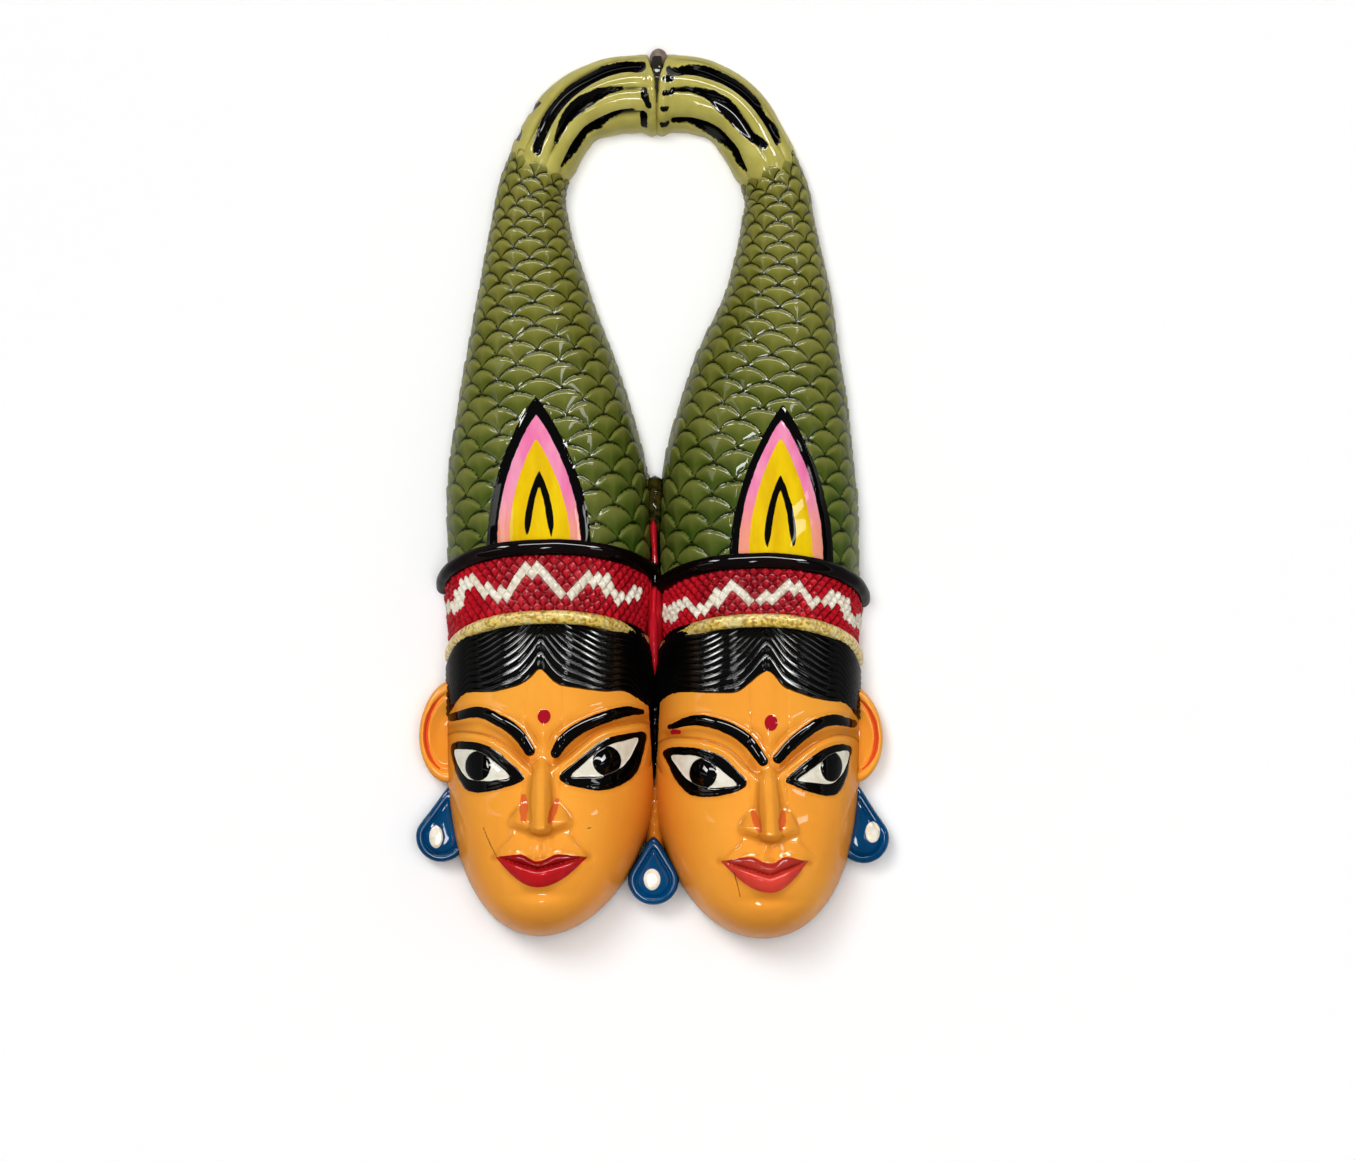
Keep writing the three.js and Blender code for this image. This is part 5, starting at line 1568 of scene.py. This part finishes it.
class MaskPaint(bpy.types.PropertyGroup):
    """Colours of the paints and woods."""

    skin: paint_colour("Skin", "Skin on the faces", 248, 160, 54)
    skin_light: paint_colour("Light skin", "Thinner skin paint", 253, 170, 60)
    # Painted shade of the skin: sides, chin, eye sockets, creases, ear bowls and between the chins
    skin_shade: paint_colour("Skin shade", "Skin in the eye sockets and at the sides", 190, 112, 28)
    skin_line: paint_colour("Skin line", "Line along the fold of the lids", 150, 84, 22)
    lip_left: paint_colour("Left lips", "Lower lip of the left face", 192, 24, 30)
    lip_right: paint_colour("Right lips", "Lower lip of the right face", 224, 68, 54)
    bindi: paint_colour("Forehead spot", "Spot on each forehead", 172, 16, 36)
    rouge: paint_colour("Rouge", "Strokes on the noses and in the ears", 224, 92, 44)
    black: paint_colour("Black", "Brows, eyes, hair and borders", 3, 3, 3)
    black_worn: paint_colour("Worn black", "Thinner black paint", 9, 9, 8)
    cream: paint_colour("Cream", "Whites of the eyes, zigzags and ovals", 243, 239, 224)
    # Thinner cream paint, and painted shade beside the band's cuts
    cream_shade: paint_colour("Cream shade", "Thinner cream paint", 222, 212, 188)
    scale_foot: paint_colour("Scales at the crown", "Green of the lower scales", 54, 78, 17)
    scale_neck: paint_colour("Scales at the tail", "Olive of the upper scales", 116, 111, 36)
    # Thinner green paint in patches, and also the painted light towards each scale's free edge
    scale_thin_and_lit: paint_colour("Light scales", "Thinner green paint", 158, 156, 80)
    scale_shade: paint_colour("Dark scales", "Thicker green paint", 56, 66, 20)
    # Dark green: pooled paint and painted shade under the scales' edges, and painted shade at the fork
    groove: paint_colour("Groove", "Paint pooled under the scales' edges", 14, 19, 6)
    tail: paint_colour("Tail", "Khaki of the tails", 176, 166, 80)
    tail_light: paint_colour("Light tail", "Khaki on the ribs", 194, 184, 98)
    # Painted shade of the khaki, in the tails' grooves and at the fork
    tail_shade: paint_colour("Tail shade", "Khaki in the grooves", 56, 48, 13)
    seam: paint_colour("Seam", "Dark filler between the tails", 40, 38, 30)
    red: paint_colour("Band red", "Red of the crown bands", 196, 24, 38)
    # Deep red for random darker diamonds, and painted shade in the cuts
    red_deep: paint_colour("Deep red", "Red pooled in the cuts", 92, 4, 18)
    maroon: paint_colour("Roll", "Near-black of the upper rolls", 10, 4, 5)
    maroon_light: paint_colour("Worn roll", "Thinner paint of the upper rolls", 22, 8, 9)
    gold: paint_colour("Gold", "Gold of the lower rolls", 250, 218, 104)
    gold_light: paint_colour("Bright gold", "Gold on the lumps", 255, 246, 184)
    gold_deep: paint_colour("Deep gold", "Gold in the dents", 164, 124, 40)
    blue: paint_colour("Blue", "Blue of the earrings", 0, 68, 116)
    pink: paint_colour("Pink", "Outer field of the flames", 242, 120, 172)
    pink_light: paint_colour("Light pink", "Brushed streaks in the pink", 248, 158, 190)
    peach: paint_colour("Peach", "Foot of the flames' pink", 246, 160, 122)
    yellow: paint_colour("Yellow", "Inner field of the flames", 246, 208, 10)
    yellow_deep: paint_colour("Deep yellow", "Brushed streaks in the yellow", 226, 178, 8)
    crack: paint_colour("Crack", "Fine cracks in the paint", 70, 40, 20)
    back_edge: paint_colour("Back edge", "Rim of the back, where the paint ends", 44, 34, 28)
    wood_dark: paint_colour("Dark grain", "Dark grain of the bare wood", 108, 84, 66)
    wood_light: paint_colour("Light grain", "Light grain of the bare wood", 158, 120, 82)
    wood_grey: paint_colour("Grey grain", "Weathered peg", 152, 138, 130)


class MaskStage(bpy.types.PropertyGroup):
    """Floor, lights and camera."""

    camera_height: stage_place("Camera height", "Distance from the floor to the camera",
                               VIEW_HEIGHT * MM, 1.0, 20.0)
    view_width: stage_place("View width", "Width of the floor that the picture shows", 0.582, 0.2, 2.0)
    view_x: stage_place("View x", "Middle of the picture across the mask", VIEW_MIDDLE[0] * MM, -1.0, 1.0)
    view_y: stage_place("View y", "Middle of the picture along the mask", VIEW_MIDDLE[1] * MM, -1.0, 1.0)
    key_power: strength("Key light", "Strength of the soft light from the upper left", 1.05, 20.0)
    fill_power: strength("Fill light", "Strength of the wide light from above", 1.85, 20.0)
    highlights: strength("Highlights", "Brightness of the panels mirrored in the gloss", 22.0, 200.0)
    sky: strength("Room light", "Strength of the even light of the room", 0.05, 5.0)
    floor: paint_colour("Floor", "Plain pale floor", 250, 250, 250)


class MaskSettings(bpy.types.PropertyGroup):
    """All sizes, colours and lights of the mask."""

    carving: PointerProperty(type=MaskCarving, name="Carving", description="Sizes of the cut patterns")
    paint: PointerProperty(type=MaskPaint, name="Paint", description="Colours of the paints and woods")
    stage: PointerProperty(type=MaskStage, name="Stage", description="Floor, lights and camera")


class MASK_OT_bodies(bpy.types.Operator):
    """Build the two scaled fish bodies with their flames."""

    bl_idname = "mask.bodies"
    bl_label = "Fish Bodies"

    def execute(self, context):
        settings = context.scene.gomira
        build_fish("left_body", LEFT_FISH, LEFT_FLAME, LEFT_HEAD["bands"], -1, settings)
        build_fish("right_body", RIGHT_FISH, RIGHT_FLAME, RIGHT_HEAD["bands"], 1, settings)
        return {"FINISHED"}


class MASK_OT_tails(bpy.types.Operator):
    """Build the ribbed tails, the filled seam and the peg behind it."""

    bl_idname = "mask.tails"
    bl_label = "Tails"

    def execute(self, context):
        settings = context.scene.gomira
        build_tail("left_tail", LEFT_FISH, -1, LEFT_RIBS, LEFT_STROKES, settings)
        build_tail("right_tail", RIGHT_FISH, 1, RIGHT_RIBS, RIGHT_STROKES, settings)
        build_seam("tail_seam", settings)
        build_peg("peg", settings)
        return {"FINISHED"}


class MASK_OT_crowns(bpy.types.Operator):
    """Build each crown's black roll, diamond band and gold roll."""

    bl_idname = "mask.crowns"
    bl_label = "Crowns"

    def execute(self, context):
        settings = context.scene.gomira
        crowns = (("left", LEFT_HEAD, LEFT_ZIGZAG), ("right", RIGHT_HEAD, RIGHT_ZIGZAG))
        for side, head, zigzag in crowns:
            bands = head["bands"]
            build_roll(f"{side}_black_roll", bands, BLACK_ROLL, roll_finish(settings))
            build_band(f"{side}_band", bands, zigzag, settings)
            build_roll(f"{side}_gold_roll", bands, GOLD_ROLL, gold_finish(settings))
        return {"FINISHED"}


class MASK_OT_heads(bpy.types.Operator):
    """Build the two faces and the hair over them."""

    bl_idname = "mask.heads"
    bl_label = "Heads"

    def execute(self, context):
        settings = context.scene.gomira
        for side, head in (("left", LEFT_HEAD), ("right", RIGHT_HEAD)):
            build_face(f"{side}_face", head, settings)
            build_hair(f"{side}_hair", head, settings)
        return {"FINISHED"}


class MASK_OT_ears(bpy.types.Operator):
    """Build the outer ears and the three teardrop earrings."""

    bl_idname = "mask.ears"
    bl_label = "Ears and Earrings"

    def execute(self, context):
        settings = context.scene.gomira
        for side, ear in zip(("left", "right"), EARS):
            build_ear(f"{side}_ear", ear, settings)
        for side, ring in zip(("left", "middle", "right"), EARRINGS):
            build_earring(f"{side}_earring", ring, settings)
        return {"FINISHED"}


class MASK_OT_join(bpy.types.Operator):
    """Build the strip of wood between the two halves and the red paint run down it."""

    bl_idname = "mask.join"
    bl_label = "Join and Drip"

    def execute(self, context):
        settings = context.scene.gomira
        build_web("fork_web", settings)
        build_drip("red_drip", settings)
        return {"FINISHED"}


class MASK_OT_stage(bpy.types.Operator):
    """Lay the floor, hang the lights and set the camera over the mask."""

    bl_idname = "mask.stage"
    bl_label = "Floor, Lights and Camera"

    def execute(self, context):
        stage = context.scene.gomira.stage
        lay_floor(stage)
        hang_lights(stage)
        set_camera(context.scene, stage)
        return {"FINISHED"}


def lay_floor(stage):
    """A plain square floor under the mask."""
    reach = 4.0
    mesh = bpy.data.meshes.new("floor")
    corners = [(-reach, -reach, 0), (reach, -reach, 0), (reach, reach, 0), (-reach, reach, 0)]
    mesh.from_pydata(corners, [], [(0, 1, 2, 3)])
    finish = Finish("Floor")
    colour = finish.mix(finish.noise(3.0), stage.floor, tuple(c * 0.985 for c in stage.floor))
    mesh.materials.append(finish.finished(colour, 0.7, coat=0.0))
    floor = bpy.data.objects.new("floor", mesh)
    bpy.context.collection.objects.link(floor)


def hang_lights(stage):
    """Suns shade the mask softly, the key from the upper left; panels show only in the gloss."""
    for name, place, (wide, tall), share in PANELS:
        lamp = bpy.data.lights.new(name, "AREA")
        lamp.shape = "RECTANGLE"
        lamp.size = wide
        lamp.size_y = tall
        lamp.energy = math.pi * wide * tall * (stage.highlights * share)
        light = add_light(name, lamp, place)
        light.visible_diffuse = False
    suns = [
        ("key", (-0.3, 0.4, 1.2), 16, stage.key_power),
        ("above", (0.0, 0.02, 1.0), 36, stage.fill_power),
        ("beside", (0.5, 0.1, 1.0), 50, stage.fill_power * 0.2),
    ]
    for name, place, spread, power in suns:
        lamp = bpy.data.lights.new(name, "SUN")
        lamp.angle = math.radians(spread)
        lamp.energy = power
        light = add_light(name, lamp, place)
        light.visible_glossy = False
    world = bpy.data.worlds.new("Room")
    world.use_nodes = True
    background = world.node_tree.nodes["Background"]
    background.inputs["Color"].default_value = (1.0, 1.0, 1.0, 1.0)
    background.inputs["Strength"].default_value = stage.sky
    bpy.context.scene.world = world


def add_light(name, lamp, place):
    """Put a lamp in place and turn it towards the mask: tilted by its slope, then turned about Z."""
    light = bpy.data.objects.new(name, lamp)
    light.location = place
    x, y, z = place
    light.rotation_euler = (math.atan2(math.hypot(x, y), z), 0.0, math.atan2(x, -y))
    bpy.context.collection.objects.link(light)
    return light


def set_camera(scene, stage):
    """A camera high over the mask that looks straight down, so the picture's up is +Y."""
    lens = bpy.data.cameras.new("camera")
    lens.sensor_width = SENSOR_WIDTH
    lens.lens = SENSOR_WIDTH * stage.camera_height / stage.view_width
    lens.clip_end = 50.0
    camera = bpy.data.objects.new("camera", lens)
    camera.location = (stage.view_x, stage.view_y, stage.camera_height)
    bpy.context.collection.objects.link(camera)
    scene.camera = camera
    scene.view_settings.view_transform = "Standard"


STEPS = (MASK_OT_bodies, MASK_OT_tails, MASK_OT_crowns, MASK_OT_heads, MASK_OT_ears, MASK_OT_join,
         MASK_OT_stage)


class MASK_PT_panel(bpy.types.Panel):
    """The mask's sizes, colours and building steps."""

    bl_idname = "MASK_PT_panel"
    bl_label = "Gomira Mask"
    bl_space_type = "VIEW_3D"
    bl_region_type = "UI"
    bl_category = "Gomira"

    def draw(self, context):
        settings = context.scene.gomira
        for step in STEPS:
            self.layout.operator(step.bl_idname)
        for group in (settings.carving, settings.paint, settings.stage):
            box = self.layout.box()
            for key in group.__annotations__:
                box.prop(group, key)


CLASSES = (MaskCarving, MaskPaint, MaskStage, MaskSettings, *STEPS, MASK_PT_panel)


def register():
    """Make the settings, operators and panel known to Blender."""
    for item in CLASSES:
        bpy.utils.register_class(item)
    bpy.types.Scene.gomira = PointerProperty(type=MaskSettings)


def unregister():
    """Remove the settings, operators and panel again."""
    del bpy.types.Scene.gomira
    for item in reversed(CLASSES):
        bpy.utils.unregister_class(item)


def main():
    """Build the whole mask and its stage."""
    register()
    for build in (bpy.ops.mask.bodies, bpy.ops.mask.tails, bpy.ops.mask.crowns, bpy.ops.mask.heads,
                  bpy.ops.mask.ears, bpy.ops.mask.join, bpy.ops.mask.stage):
        build()


if __name__ == "__main__":
    main()
